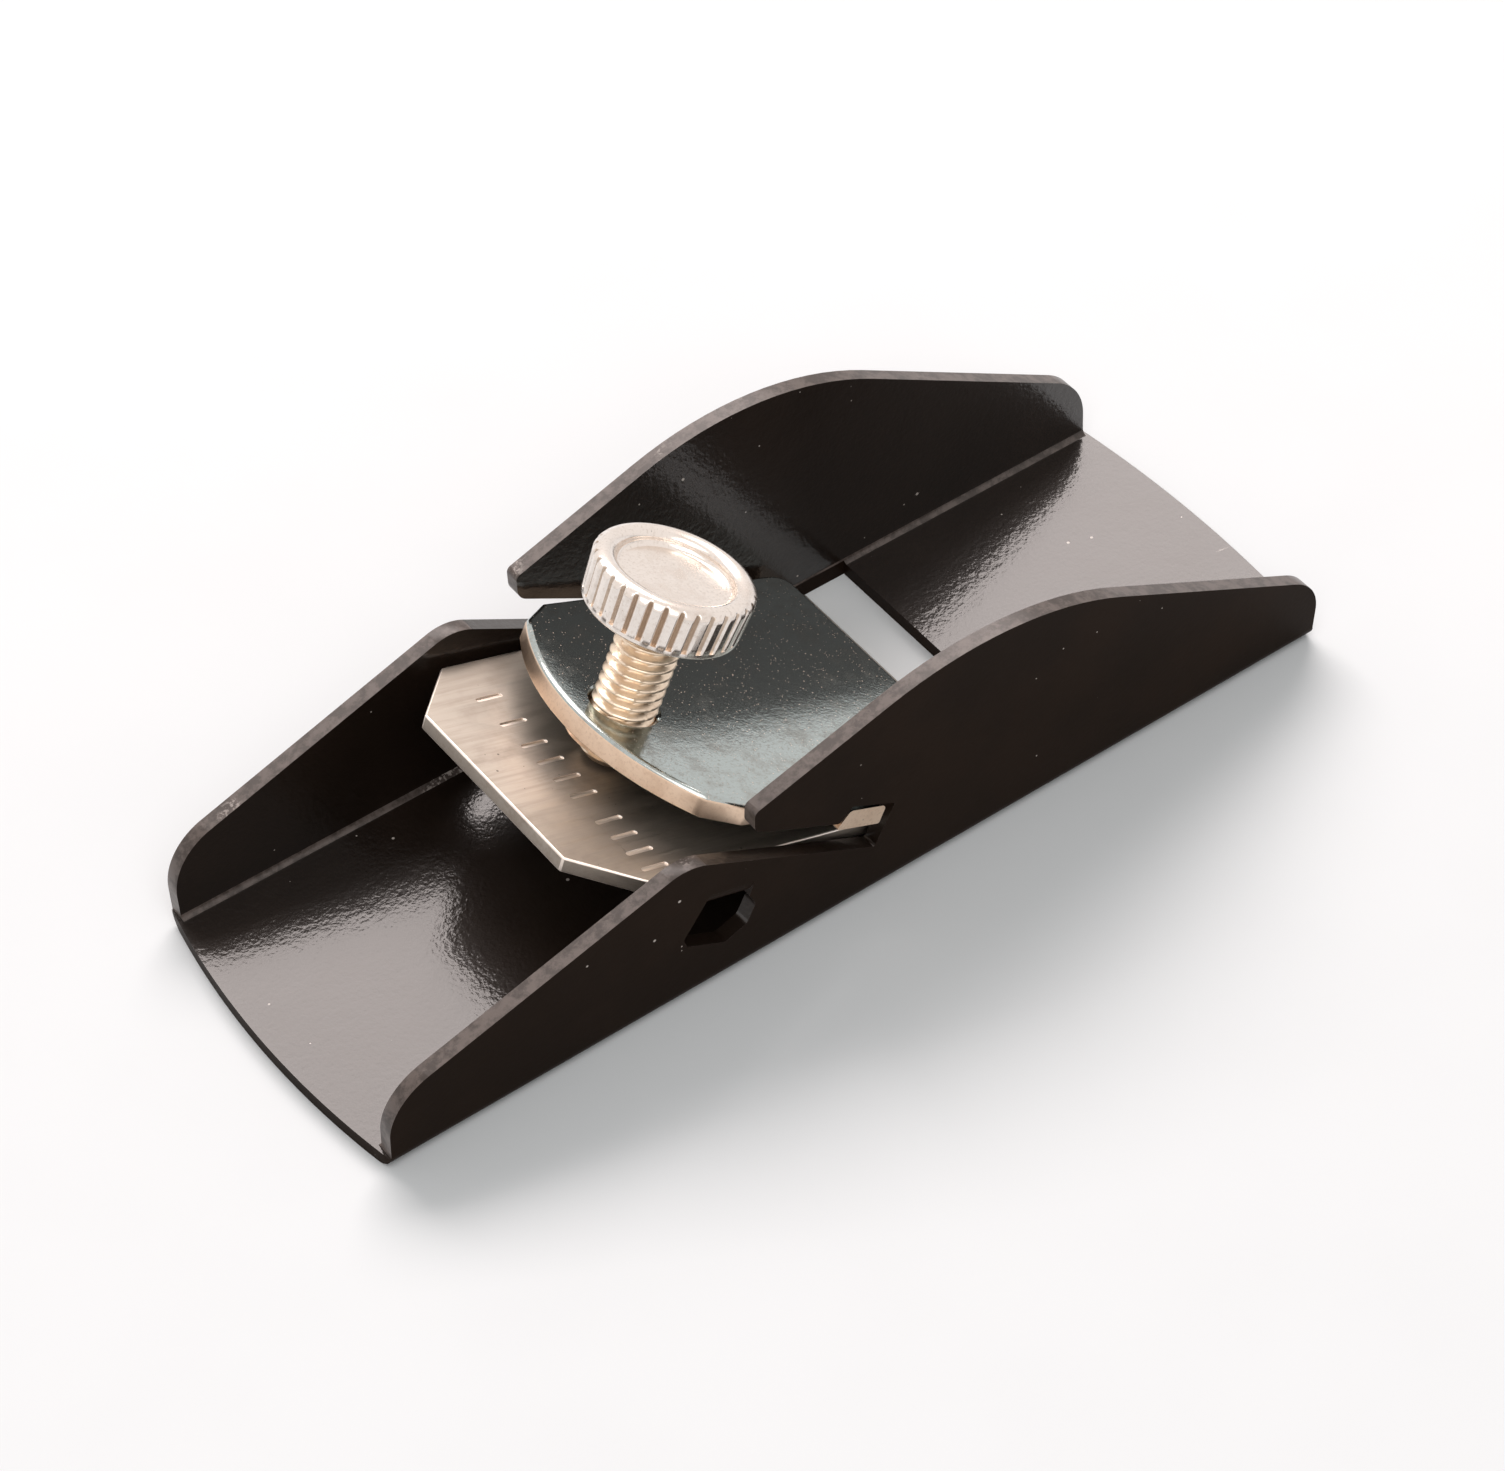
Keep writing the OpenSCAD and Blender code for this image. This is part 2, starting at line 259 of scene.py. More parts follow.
@dataclass
class Outline:
    """Flat closed drawing whose corners may be rounded."""

    arc_step: float = 4.0
    points: list[Point] = field(default_factory=list)
    radii: list[float] = field(default_factory=list)

    def to(self, x: float, y: float, r: float = 0.0) -> "Outline":
        """Adds a corner.

        Args:
            x: first coordinate.
            y: second coordinate.
            r: radius of the corner.

        Returns:
            The outline itself, so that calls can follow each other.
        """
        self.points.append((x, y))
        self.radii.append(r)
        return self

    def path(self) -> list[Point]:
        """The drawing's points, with every rounded corner as an arc.

        Returns:
            The points in order, without the first one again at the end.
        """
        out: list[Point] = []
        n = len(self.points)
        for i, r in enumerate(self.radii):
            p = Vector(self.points[i])
            if r <= 0:
                out.append(tuple(p))
                continue
            u = (Vector(self.points[i - 1]) - p).normalized()
            v = (Vector(self.points[(i + 1) % n]) - p).normalized()
            half = u.angle(v) / 2
            centre = p + (u + v).normalized() * r / math.sin(half)
            start = p + u * r / math.tan(half) - centre
            end = p + v * r / math.tan(half) - centre
            a0 = math.atan2(start.y, start.x)
            turn = (math.atan2(end.y, end.x) - a0 + 3 * math.pi) % (2 * math.pi) - math.pi
            steps = max(3, round(abs(math.degrees(turn)) / self.arc_step))
            out += [(centre.x + r * math.cos(a0 + turn * k / steps),
                     centre.y + r * math.sin(a0 + turn * k / steps)) for k in range(steps + 1)]
        return out


class Forge:
    """Makes and joins meshes. Drawings come in millimetres."""

    # Points closer than this in metres are one, and edges flatter than this in degrees go.
    MERGE, FLAT = 2e-7, 0.4

    @staticmethod
    def link(name: str, bm: bmesh.types.BMesh, place: Matrix | None = None) -> Solid:
        """Turns the faces outwards and puts them in the scene as an object.

        Args:
            name: name of the object.
            bm: the faces, which are freed.
            place: frame in metres that they are in, if not the shared frame.

        Returns:
            The new object.
        """
        bmesh.ops.recalc_face_normals(bm, faces=bm.faces)
        if place is not None:
            bm.transform(place)
        mesh = bpy.data.meshes.new(name)
        bm.to_mesh(mesh)
        bm.free()
        obj = bpy.data.objects.new(name, mesh)
        bpy.context.scene.collection.objects.link(obj)
        return obj

    @staticmethod
    def ring(radii: list[float], z: float) -> list[Vector]:
        """Points round an axis at one height.

        Args:
            radii: distance of each point from the axis.
            z: the height.

        Returns:
            The points, evenly spaced.
        """
        turns = [2 * math.pi * i / len(radii) for i in range(len(radii))]
        return [Vector((r * math.cos(a), r * math.sin(a), z)) for r, a in zip(radii, turns)]

    @staticmethod
    def prism(name: str, path: list[Point], axis: Axis, lo: float, hi: float,
              place: Matrix | None = None) -> Solid:
        """Pulls a drawing out into a solid.

        Args:
            name: name of the object.
            path: corners of the drawing.
            axis: direction of the pull; the drawing's axes are the other two in X, Y, Z order.
            lo: where the solid starts.
            hi: where it ends.
            place: frame in metres that the drawing is in, if not the shared frame.

        Returns:
            The new object.
        """
        spread = {Axis.X: lambda a, b, t: (t, a, b), Axis.Y: lambda a, b, t: (a, t, b),
                  Axis.Z: lambda a, b, t: (a, b, t)}[axis]
        bm = bmesh.new()
        rings = [[bm.verts.new(Vector(spread(a, b, t)) * MM) for a, b in path] for t in (lo, hi)]
        bm.faces.new(rings[0])
        bm.faces.new(list(reversed(rings[1])))
        for i in range(len(path)):
            j = (i + 1) % len(path)
            bm.faces.new((rings[0][j], rings[0][i], rings[1][i], rings[1][j]))
        return Forge.link(name, bm, place)

    @staticmethod
    def lathe(name: str, rows: list[list[Vector]], place: Matrix) -> Solid:
        """Skins rings of points, row by row, and closes both ends.

        Args:
            name: name of the object.
            rows: rings with the same number of points each, in millimetres.
            place: frame in metres that the points are in.

        Returns:
            The new object.
        """
        bm = bmesh.new()
        rings = [[bm.verts.new(place @ (p * MM)) for p in row] for row in rows]
        n = len(rings[0])
        for a, b in zip(rings, rings[1:]):
            for i in range(n):
                bm.faces.new((a[i], a[(i + 1) % n], b[(i + 1) % n], b[i]))
        bm.faces.new(list(reversed(rings[0])))
        bm.faces.new(rings[-1])
        return Forge.link(name, bm)

    @staticmethod
    def combine(obj: Solid, other: Solid, join: Join) -> None:
        """Joins, cuts or clips obj by other, which is then removed.

        Args:
            obj: the object that changes.
            other: the tool.
            join: what the tool does.
        """
        mod = obj.modifiers.new("join", "BOOLEAN")
        mod.operation = join.value
        mod.solver = "EXACT"
        mod.object = other
        Forge.apply(obj)
        mesh = other.data
        bpy.data.objects.remove(other)
        bpy.data.meshes.remove(mesh)

    @staticmethod
    def apply(obj: Solid) -> None:
        """Turns an object's modifiers into its mesh.

        Args:
            obj: the object.
        """
        graph = bpy.context.evaluated_depsgraph_get()
        graph.update()
        mesh = bpy.data.meshes.new_from_object(obj.evaluated_get(graph))
        old = obj.data
        obj.modifiers.clear()
        obj.data = mesh
        bpy.data.meshes.remove(old)

    @staticmethod
    def clean(obj: Solid) -> None:
        """Merges the flat faces that joining has split.

        Args:
            obj: the object.
        """
        bm = bmesh.new()
        bm.from_mesh(obj.data)
        bmesh.ops.remove_doubles(bm, verts=bm.verts, dist=Forge.MERGE)
        bmesh.ops.dissolve_limit(bm, angle_limit=math.radians(Forge.FLAT), verts=bm.verts,
                                 edges=bm.edges)
        bm.to_mesh(obj.data)
        bm.free()

    @staticmethod
    def round_edges(obj: Solid, width: float, slot: int, segments: int = 3, angle: float = 32.0) -> None:
        """Rounds the sharp edges and smooths the shading.

        Args:
            obj: the object.
            width: width of the rounding in millimetres.
            slot: material slot that the rounding takes.
            segments: facets across the rounding.
            angle: edges that turn by more than this many degrees are rounded.
        """
        mod = obj.modifiers.new("arris", "BEVEL")
        mod.width = width * MM
        mod.segments = segments
        mod.limit_method = "ANGLE"
        mod.angle_limit = math.radians(angle)
        mod.material = slot
        mod.miter_outer = "MITER_ARC"
        mod.use_clamp_overlap = True
        Forge.apply(obj)
        Forge.smooth(obj, 40.0)

    @staticmethod
    def smooth(obj: Solid, angle: float) -> None:
        """Gives smooth shading.

        Args:
            obj: the object.
            angle: edges that turn by more than this many degrees stay sharp.
        """
        for poly in obj.data.polygons:
            poly.use_smooth = True
        obj.data.set_sharp_from_angle(angle=math.radians(angle))
        mod = obj.modifiers.new("normals", "WEIGHTED_NORMAL")
        mod.keep_sharp = True
        mod.weight = 60
        Forge.apply(obj)

    @staticmethod
    def paint(obj: Solid, finishes: tuple) -> None:
        """Gives an object its finishes.

        Args:
            obj: the object.
            finishes: the finishes in slot order.
        """
        obj.data.materials.clear()
        for finish in finishes:
            obj.data.materials.append(finish.build())


class Nodes:
    """Nodes of a finish or of the room, under construction."""

    def __init__(self, owner: bpy.types.Material | bpy.types.World) -> None:
        owner.use_nodes = True
        self.owner = owner
        self.tree = owner.node_tree

    def feed(self, node: bpy.types.Node, inputs: dict[str | int, object]) -> None:
        """Feeds a node.

        Args:
            node: the node.
            inputs: a socket or a plain value for each input, by name or number.
        """
        for key, value in inputs.items():
            if isinstance(value, Socket):
                self.tree.links.new(value, node.inputs[key])
            else:
                node.inputs[key].default_value = value

    def add(self, kind: str, inputs: dict[str | int, object], **options: str) -> bpy.types.Node:
        """Adds a node.

        Args:
            kind: its type, without the prefix.
            inputs: what it is fed with.
            options: its settings.

        Returns:
            The node.
        """
        node = self.tree.nodes.new("ShaderNode" + kind)
        for key, value in options.items():
            setattr(node, key, value)
        self.feed(node, inputs)
        return node

    def maths(self, kind: Sum, a: Socket | float, b: Socket | float) -> Socket:
        """One sum on two values."""
        return self.add("Math", {0: a, 1: b}, operation=kind.value).outputs["Value"]


class Shader(Nodes):
    """Nodes of one finish."""

    def __init__(self, name: str) -> None:
        super().__init__(bpy.data.materials.new(name))
        self.where = self.add("TexCoord", {}).outputs["Object"]

    def stretch(self, scale: Triple, turn: Triple) -> Socket:
        """Object coordinates turned by angles in radians and then stretched."""
        node = self.add("VectorRotate", {"Vector": self.where, "Rotation": turn},
                        rotation_type="EULER_XYZ")
        return self.add("Mapping", {"Vector": node.outputs["Vector"], "Scale": scale}).outputs["Vector"]

    def noise(self, scale: float, detail: float = 2.0, rough: float = 0.5,
              at: Socket | None = None) -> Socket:
        """Cloudy noise from 0 to 1; scale is in waves per metre."""
        return self.add("TexNoise", {"Vector": at or self.where, "Scale": scale, "Detail": detail,
                                     "Roughness": rough}).outputs["Fac"]

    def span(self, value: Socket, lo: float, hi: float, to_lo: float = 0.0, to_hi: float = 1.0) -> Socket:
        """Maps the stretch from lo to hi of a value softly onto another, clamped."""
        return self.add("MapRange", {"Value": value, "From Min": lo, "From Max": hi, "To Min": to_lo,
                                     "To Max": to_hi}, interpolation_type="SMOOTHSTEP").outputs["Result"]

    def mix(self, share: Socket, a: Colour | Socket, b: Colour | Socket) -> Socket:
        """Mixes two colours; share 0 gives a and 1 gives b."""
        ends = [c if isinstance(c, Socket) else (*c, 1.0) for c in (a, b)]
        return self.add("Mix", {0: share, 6: ends[0], 7: ends[1]}, data_type="RGBA").outputs[2]

    def specks(self, scale: float, size: float, share: float) -> Socket:
        """Sparse round specks.

        Args:
            scale: cells per metre.
            size: radius of a speck, in cells.
            share: share of the cells that have one.

        Returns:
            1 inside a speck and 0 elsewhere.
        """
        cells = self.add("TexVoronoi", {"Vector": self.where, "Scale": scale}, feature="F1")
        near = self.span(cells.outputs["Distance"], size, size * 0.6)
        pick = self.add("SeparateColor", {"Color": cells.outputs["Color"]})
        return self.maths(Sum.TIMES, near, self.maths(Sum.BELOW, pick.outputs["Red"], share))

    def relief(self, height: Socket, depth: float, under: Socket | None = None) -> Socket:
        """Surface relief of that depth in metres, on top of another where that is given."""
        lower = {} if under is None else {"Normal": under}
        return self.add("Bump", {"Strength": 1.0, "Distance": depth, "Height": height,
                                 **lower}).outputs["Normal"]

    def finish(self, **inputs: object) -> bpy.types.Material:
        """Feeds the surface, whose inputs are named with underscores for spaces.

        Args:
            inputs: a socket or a plain value for each input.

        Returns:
            The material.
        """
        surface = self.tree.nodes["Principled BSDF"]
        self.feed(surface, {key.replace("_", " "): value for key, value in inputs.items()})
        return self.owner


@dataclass(frozen=True)
class Enamel:
    """Warm black enamel with orange peel, dust and fine scratches."""

    name: str
    gloss: float
    specular: float
    coat: float
    peel: float
    colour: Colour = (0.0115, 0.007, 0.0048)
    dust: Colour = (0.55, 0.5, 0.46)
    coat_gloss: float = 0.13
    cloud_gain: float = 1.35

    def build(self) -> bpy.types.Material:
        """Makes the enamel.

        Returns:
            The material.
        """
        s = Shader(self.name)
        cloud = s.noise(90, detail=3, rough=0.6)
        lighter = tuple(self.cloud_gain * c for c in self.colour)
        colour = s.mix(s.span(cloud, 0.35, 0.7), self.colour, lighter)
        dust = s.maths(Sum.LARGER, s.specks(520, size=0.08, share=0.11),
                       s.specks(1300, size=0.1, share=0.03))
        hair = s.noise(330, detail=1, at=s.stretch((1, 3.5, 0.35), turn=(0.5, 0.9, 0.3)))
        marks = s.maths(Sum.LARGER, dust, s.maths(Sum.TIMES, s.span(hair, 0.82, 0.86), 0.35))
        rough = s.span(cloud, 0.3, 0.75, self.gloss, self.gloss + 0.06)
        coarse = s.relief(s.noise(700), self.peel)
        normal = s.relief(s.noise(2600, rough=0.6), self.peel, under=coarse)
        return s.finish(Base_Color=s.mix(marks, colour, self.dust),
                        Roughness=s.maths(Sum.ADD, rough, s.maths(Sum.TIMES, marks, 0.2)),
                        Specular_IOR_Level=self.specular, Coat_Weight=self.coat,
                        Coat_Roughness=self.coat_gloss, Normal=normal, Coat_Normal=normal)


@dataclass(frozen=True)
class RubbedEdgeAndSheen:
    """Cut edges of the enamelled sheet and the inner bends, where the enamel is thin and worn, and whose
    lighter enamel colours are a painted sheen for the sky's reflection on the rounded faces.
    """

    # Both enamel colours here are far lighter than the black enamel, as painted sheen; the bare patches
    # are real wear.
    enamel: Colour = (0.06, 0.047, 0.041)
    rubbed_sheen: Colour = (0.13, 0.105, 0.094)
    bare: Colour = (0.6, 0.54, 0.5)
    specular: float = 0.35
    relief: float = 0.000008

    def build(self) -> bpy.types.Material:
        """Makes the worn enamel with its painted sheen.

        Returns:
            The material.
        """
        s = Shader("rubbed edge")
        thin = s.span(s.noise(900, detail=4, rough=0.7), 0.38, 0.62)
        patch = s.span(s.noise(130, detail=3, rough=0.6), 0.6, 0.72)
        grain = s.span(s.noise(3000, detail=3, rough=0.65), 0.5, 0.6)
        worn = s.maths(Sum.TIMES, patch, grain)
        colour = s.mix(worn, s.mix(thin, self.enamel, self.rubbed_sheen), self.bare)
        normal = s.relief(s.noise(2400, detail=3, rough=0.6), self.relief)
        return s.finish(Base_Color=colour, Roughness=s.span(worn, 0, 1, 0.3, 0.42),
                        Specular_IOR_Level=self.specular, Normal=normal)


@dataclass(frozen=True)
class BrushedSteel:
    """Bare strip steel with fine lines along the bed, faint rubs and stains."""

    name: str
    colour: Colour
    stain: Colour
    roughness: float
    pit: Colour = (0.07, 0.055, 0.045)
    turn: tuple[float, float, float] = (0.0, -0.3316, 0.0)

    def build(self) -> bpy.types.Material:
        """Makes the steel.

        Returns:
            The material.
        """
        s = Shader(self.name)
        lines = s.noise(1500, detail=4, rough=0.7, at=s.stretch((0.06, 1, 1), self.turn))
        fine = s.noise(5200, rough=0.6, at=s.stretch((0.12, 1, 1), self.turn))
        stains = s.span(s.noise(210, detail=5, rough=0.6), 0.5, 0.75)
        pits = s.maths(Sum.LARGER, s.specks(900, size=0.1, share=0.03),
                       s.specks(2200, size=0.12, share=0.03))
        colour = s.mix(s.maths(Sum.TIMES, stains, 0.5), self.colour, self.stain)
        colour = s.mix(s.span(lines, 0.42, 0.66, 0.0, 0.3), colour, self.stain)
        colour = s.mix(s.maths(Sum.TIMES, pits, 0.75), colour, self.pit)
        rough = s.span(lines, 0.3, 0.7, self.roughness - 0.06, self.roughness + 0.08)
        rough = s.maths(Sum.ADD, rough, s.maths(Sum.TIMES, stains, 0.08))
        normal = s.relief(lines, 0.000005, under=s.relief(fine, 0.0000025))
        return s.finish(Base_Color=colour, Metallic=1.0, Roughness=rough, Normal=normal)


@dataclass(frozen=True)
class Plating:
    """Bright plating with a fine crystal grain, faint stains, dark pits and, if asked, pale flecks."""

    name: str
    colour: Colour
    shade: Colour
    roughness: float
    grain: float
    flecks: float = 0.0
    pit: Colour = (0.1, 0.08, 0.07)
    fleck: Colour = (0.74, 0.6, 0.5)
    fleck_roughness: float = 0.6

    def build(self) -> bpy.types.Material:
        """Makes the plating.

        Returns:
            The material.
        """
        s = Shader(self.name)
        cloud = s.span(s.noise(420, detail=5, rough=0.7), 0.45, 0.7)
        spangle = s.span(s.noise(4200, detail=3, rough=0.6), 0.5, 0.68)
        pits = s.specks(1500, size=0.09, share=0.06)
        colour = s.mix(s.maths(Sum.TIMES, cloud, 0.35), self.colour, self.shade)
        colour = s.mix(s.maths(Sum.TIMES, spangle, 0.3), colour, self.shade)
        colour = s.mix(s.maths(Sum.TIMES, pits, 0.7), colour, self.pit)
        rough = s.maths(Sum.ADD, s.span(cloud, 0, 1, self.roughness, self.roughness + 0.07),
                        s.maths(Sum.TIMES, spangle, 0.06))
        if self.flecks:
            bright = s.maths(Sum.LARGER, s.specks(2600, size=0.13, share=self.flecks),
                             s.specks(4400, size=0.16, share=self.flecks))
            colour = s.mix(bright, colour, self.fleck)
            rough = s.maths(Sum.LARGER, rough, s.maths(Sum.TIMES, bright, self.fleck_roughness))
        coarse = s.relief(s.noise(700), self.grain)
        normal = s.relief(s.noise(3600, detail=3, rough=0.65), self.grain, under=coarse)
        return s.finish(Base_Color=colour, Metallic=1.0, Roughness=rough, Normal=normal)


@dataclass(frozen=True)
class Paper:
    """Matt white paper under and behind the plane."""

    colour: Colour = (0.85, 0.89, 0.915)
    fleck_gain: float = 0.99

    def build(self) -> bpy.types.Material:
        """Makes the paper.

        Returns:
            The material.
        """
        s = Shader("paper")
        fleck = s.span(s.noise(60, detail=3), 0.4, 0.7)
        darker = tuple(self.fleck_gain * c for c in self.colour)
        return s.finish(Base_Color=s.mix(fleck, self.colour, darker), Roughness=0.9,
                        Specular_IOR_Level=0.1)


class BodySkin(IntEnum):
    """Finishes of the pressed body, in slot order."""

    INSIDE = 0
    EDGE_SHEEN = 1
    OUTSIDE_DIMMED = 2


@dataclass(frozen=True)
class PlaneBody:
    """Channel of black sheet steel with slotted cheeks and pressed-in tabs."""

    s: Sizes
    far: float = 60.0
    over_top: float = 26.0
    over_side: float = 28.0
    arris: float = 0.19
    fillet: float = 0.5
    pocket_r: float = 0.25
    slot_end_r: float = 0.2
    tab_ear_r: float = 0.3
    chord_gap: float = 0.1
    plan_margin: float = 4.0
    cheek_band: float = 0.3
    bend_band: float = 0.25
    crown_band: float = 2.6
    low_band: float = 0.05

    FINISHES = (
        Enamel("black enamel", gloss=0.36, specular=0.14, coat=1.0, peel=0.000021),
        RubbedEdgeAndSheen(),
        # Outside copy of the same enamel, with its reflection turned down and a warmer colour: painted
        # shade for the dark surroundings that the outer faces reflect.
        Enamel("black enamel outside", gloss=0.34, specular=0.025, coat=0.0, peel=0.000008,
               colour=(0.0138, 0.008, 0.005)),
    )
    # Corners of the hole below a slot: the tab's side, place along X from it, height and radius.
    HOLE = ((-1, -1.0, -3.65, 0.3), (-1, -0.45, -4.4, 0.3), (1, -0.75, -5.1, 0.5),
            (1, 0.8, -3.8, 0.6), (1, 0.95, -2.0, 0.5), (1, 0.0, -1.0, 0.0))
    # Shares of a normal: a face that looks outwards, one seen edge-on, one that is level, a bend.
    OUTWARD, EDGE_ON, LEVEL, BEND = 0.7, 0.3, 0.8, (0.2, 0.95)

    def section(self, top: float) -> list[Point]:
        """Section across the channel.

        Args:
            top: height that it goes up to.

        Returns:
            The drawing, in Y and Z.
        """
        s = self.s
        h_in, h_out = s.inner_w / 2, s.inner_w / 2 + s.sheet
        return (Outline(arc_step=12.0)
                .to(-h_out - s.lean * top, top).to(-h_out, 0, s.bend_r).to(h_out, 0, s.bend_r)
                .to(h_out + s.lean * top, top).to(h_in + s.lean * top, top)
                .to(h_in + s.lean * s.sheet, s.sheet, self.fillet)
                .to(-h_in - s.lean * s.sheet, s.sheet, self.fillet)
                .to(-h_in - s.lean * top, top).path())

    def side(self) -> list[Point]:
        """Cheeks seen from the side, with the sole running past their ends.

        Returns:
            The drawing, in X and Z.
        """
        s = self.s
        lug_top, lug_rear = s.cap_t - s.lug_drop, -s.lug_back - s.lug_l
        front = s.slot_coords(s.on_cap(-s.lug_back, lug_top))
        rear = s.slot_coords(s.on_cap(lug_rear, lug_top))
        foot = s.slot_coords(s.on_cap(lug_rear - s.lug_rake, 0))
        top = front[1] + s.lug_top_gap
        slot_top, slot_low = top - s.pocket_h, top - s.pocket_h - s.slot_h
        end, end_lean = front[0] + s.lug_front_gap, -tan(s.cap_slope - s.bed_slope)
        wall, wall_lean = rear[0] - s.lug_rear_gap, (rear[0] - foot[0]) / (rear[1] - foot[1])
        hump_x = (s.front_line(0) - s.rear_h) / (tan(s.rear_slope) + tan(s.front_slope))
        slope = math.radians(s.slot_slope)
        peak_x = (slot_low / math.cos(slope) - s.rear_h) / (tan(s.rear_slope) + tan(s.slot_slope))
        tip_low = (slot_top - s.tip_x * math.sin(slope)) / math.cos(slope)
        return (Outline(arc_step=3.0)
                .to(-self.far, -OVER).to(self.far, -OVER).to(self.far, s.sheet).to(s.toe_x, s.sheet)
                .to(s.toe_x, s.toe_h, s.toe_r).to(hump_x, s.front_line(hump_x), s.hump_r)
                .to(s.tip_x, s.rear_line(s.tip_x), s.tip_top_r).to(s.tip_x, tip_low, s.tip_low_r)
                .to(*s.slot_point(wall + wall_lean * (slot_top - top), slot_top), self.pocket_r)
                .to(*s.slot_point(wall, top))
                .to(*s.slot_point(end, top), self.slot_end_r)
                .to(*s.slot_point(end + end_lean * (slot_low - top), slot_low), self.slot_end_r)
                .to(peak_x, s.rear_line(peak_x), s.peak_r)
                .to(s.heel_x, s.rear_line(s.heel_x), s.heel_r)
                .to(s.heel_x, s.sheet).to(-self.far, s.sheet).path())

    def plan(self, steps: int = 60) -> list[Point]:
        """Round ends of the sole, seen from above.

        Args:
            steps: facets of each end.

        Returns:
            The drawing, in X and Y.
        """
        s = self.s
        tallest = max(s.rear_line(s.heel_x), s.toe_h)
        chord = s.inner_w / 2 + s.sheet + s.lean * tallest + self.chord_gap
        wide = chord + self.plan_margin
        out: list[Point] = []
        for x, bow, sign in ((s.toe_x, s.toe_bow, 1), (s.heel_x, s.heel_bow, -1)):
            r = (chord ** 2 + bow ** 2) / (2 * bow)
            for k in range(steps + 1):
                y = sign * (-wide + 2 * wide * k / steps)
                out.append((x + sign * (bow - r + math.sqrt(r * r - y * y)), y))
        return out

    def tab_hole(self) -> list[Point]:
        """Hole that a tab leaves in its cheek.

        Returns:
            The drawing, in the bed's X and Z.
        """
        s = self.s
        w, bend = s.tab_w / 2, s.bend_inner_r + s.tab_thinning - s.seat_gap
        hole = Outline(arc_step=15.0)
        for side, along, z, r in self.HOLE:
            hole.to(side * w + along, z, r)
        return [(x - s.tab_back, z) for x, z in hole.to(w, bend).to(-w, bend).path()]

    def tab(self, side: int) -> Solid:
        """Bends a tab in from one cheek.

        Args:
            side: -1 for the right cheek and 1 for the left.

        Returns:
            The tab's object.
        """
        s = self.s
        w, corner = s.tab_w / 2, s.tab_corner
        r_in = s.bend_inner_r + s.tab_thinning
        r_out = r_in + s.sheet - 2 * s.tab_thinning
        height = s.on_bed(-s.tab_back, r_in - s.seat_gap)[1]
        face = s.inner_w / 2 + s.lean * height
        turn = -side * math.atan(s.lean * math.sin(math.radians(s.bed_slope)))
        at = (-s.tab_back * MM, side * (face - s.bend_inner_r) * MM, (r_in - s.seat_gap) * MM)
        place = (s.bed_matrix() @ Matrix.Translation(at) @ Matrix.Rotation(turn, 4, "Z")
                 @ Matrix.Diagonal((1, -side, 1, 1)))
        steps = 8
        turns = [math.radians(180 + 90 * k / steps) for k in range(steps + 1)]
        bend = ([(r_out * math.cos(a), r_out * math.sin(a)) for a in turns]
                + [(2 * s.tab_reach, -r_out), (2 * s.tab_reach, -r_in)]
                + [(r_in * math.cos(a), r_in * math.sin(a)) for a in reversed(turns)])
        plan = (Outline(arc_step=15.0).to(-w, -2 * r_out).to(w, -2 * r_out).to(w, corner / 4)
                .to(w + s.tab_ear - corner / 2, corner, self.tab_ear_r)
                .to(w + s.tab_ear, s.tab_ear, corner).to(w, s.tab_reach, corner)
                .to(corner - w, s.tab_reach, self.tab_ear_r)
                .to(-w - corner, s.tab_reach - 1.5 * corner, self.tab_ear_r).to(-w, corner / 4).path())
        tab = Forge.prism("tab", bend, Axis.X, -2 * w, 2 * w, place)
        Forge.combine(tab, Forge.prism("tab plan", plan, Axis.Z, -4 * r_out, 4 * r_out, place), Join.CLIP)
        return tab

    def build(self) -> Solid:
        """Builds the pressed body.

        Returns:
            The body's object, which stands for the CAD's node.
        """
        s, wide = self.s, self.over_side
        obj = Forge.prism("pressed_body", self.section(self.over_top), Axis.X, -self.far, self.far)
        Forge.combine(obj, Forge.prism("side", self.side(), Axis.Y, -wide, wide), Join.CLIP)
        plan = Forge.prism("plan", self.plan(), Axis.Z, -2 * OVER, self.over_top + OVER)
        Forge.combine(obj, plan, Join.CLIP)
        bed = math.radians(s.bed_slope)
        lip = s.edge_x - (s.sheet + s.seat_gap / math.cos(bed) - s.edge_z) / math.tan(bed)
        half = s.inner_w / 2
        mouth = (Outline(arc_step=15.0).to(lip, -half).to(s.edge_x + s.mouth_front, -half)
                 .to(s.edge_x + s.mouth_front, half).to(lip, half).path())
        Forge.combine(obj, Forge.prism("mouth", mouth, Axis.Z, -OVER, s.sheet + OVER), Join.CUT)
        hole = Forge.prism("hole", self.tab_hole(), Axis.Y, -wide, wide, s.bed_matrix())
        Forge.combine(obj, hole, Join.CUT)
        for side in (-1, 1):
            Forge.combine(obj, self.tab(side), Join.ADD)
        Forge.clean(obj)
        return obj

    def mark_cheeks(self, obj: Solid) -> None:
        """Picks the finish of the cheeks' outer faces, which take the dimmed enamel as painted shade, and
        of the cut edges, which take the worn edge finish with its painted sheen, while they are still
        sharp.

        Args:
            obj: the body's object.
        """
        for face in obj.data.polygons:
            at, way = face.center / MM, face.normal
            beside = abs(at.y) > self.s.inner_w / 2 - self.cheek_band
            if beside and way.y * at.y > 0 and abs(way.y) > self.OUTWARD:
                # Outer faces take the dimmed enamel: painted shade.
                face.material_index = BodySkin.OUTSIDE_DIMMED
            elif beside and abs(way.y) < self.EDGE_ON and self.on_top(at):
                # Cut edges take the lighter edge finish: real wear with a painted sheen.
                face.material_index = BodySkin.EDGE_SHEEN

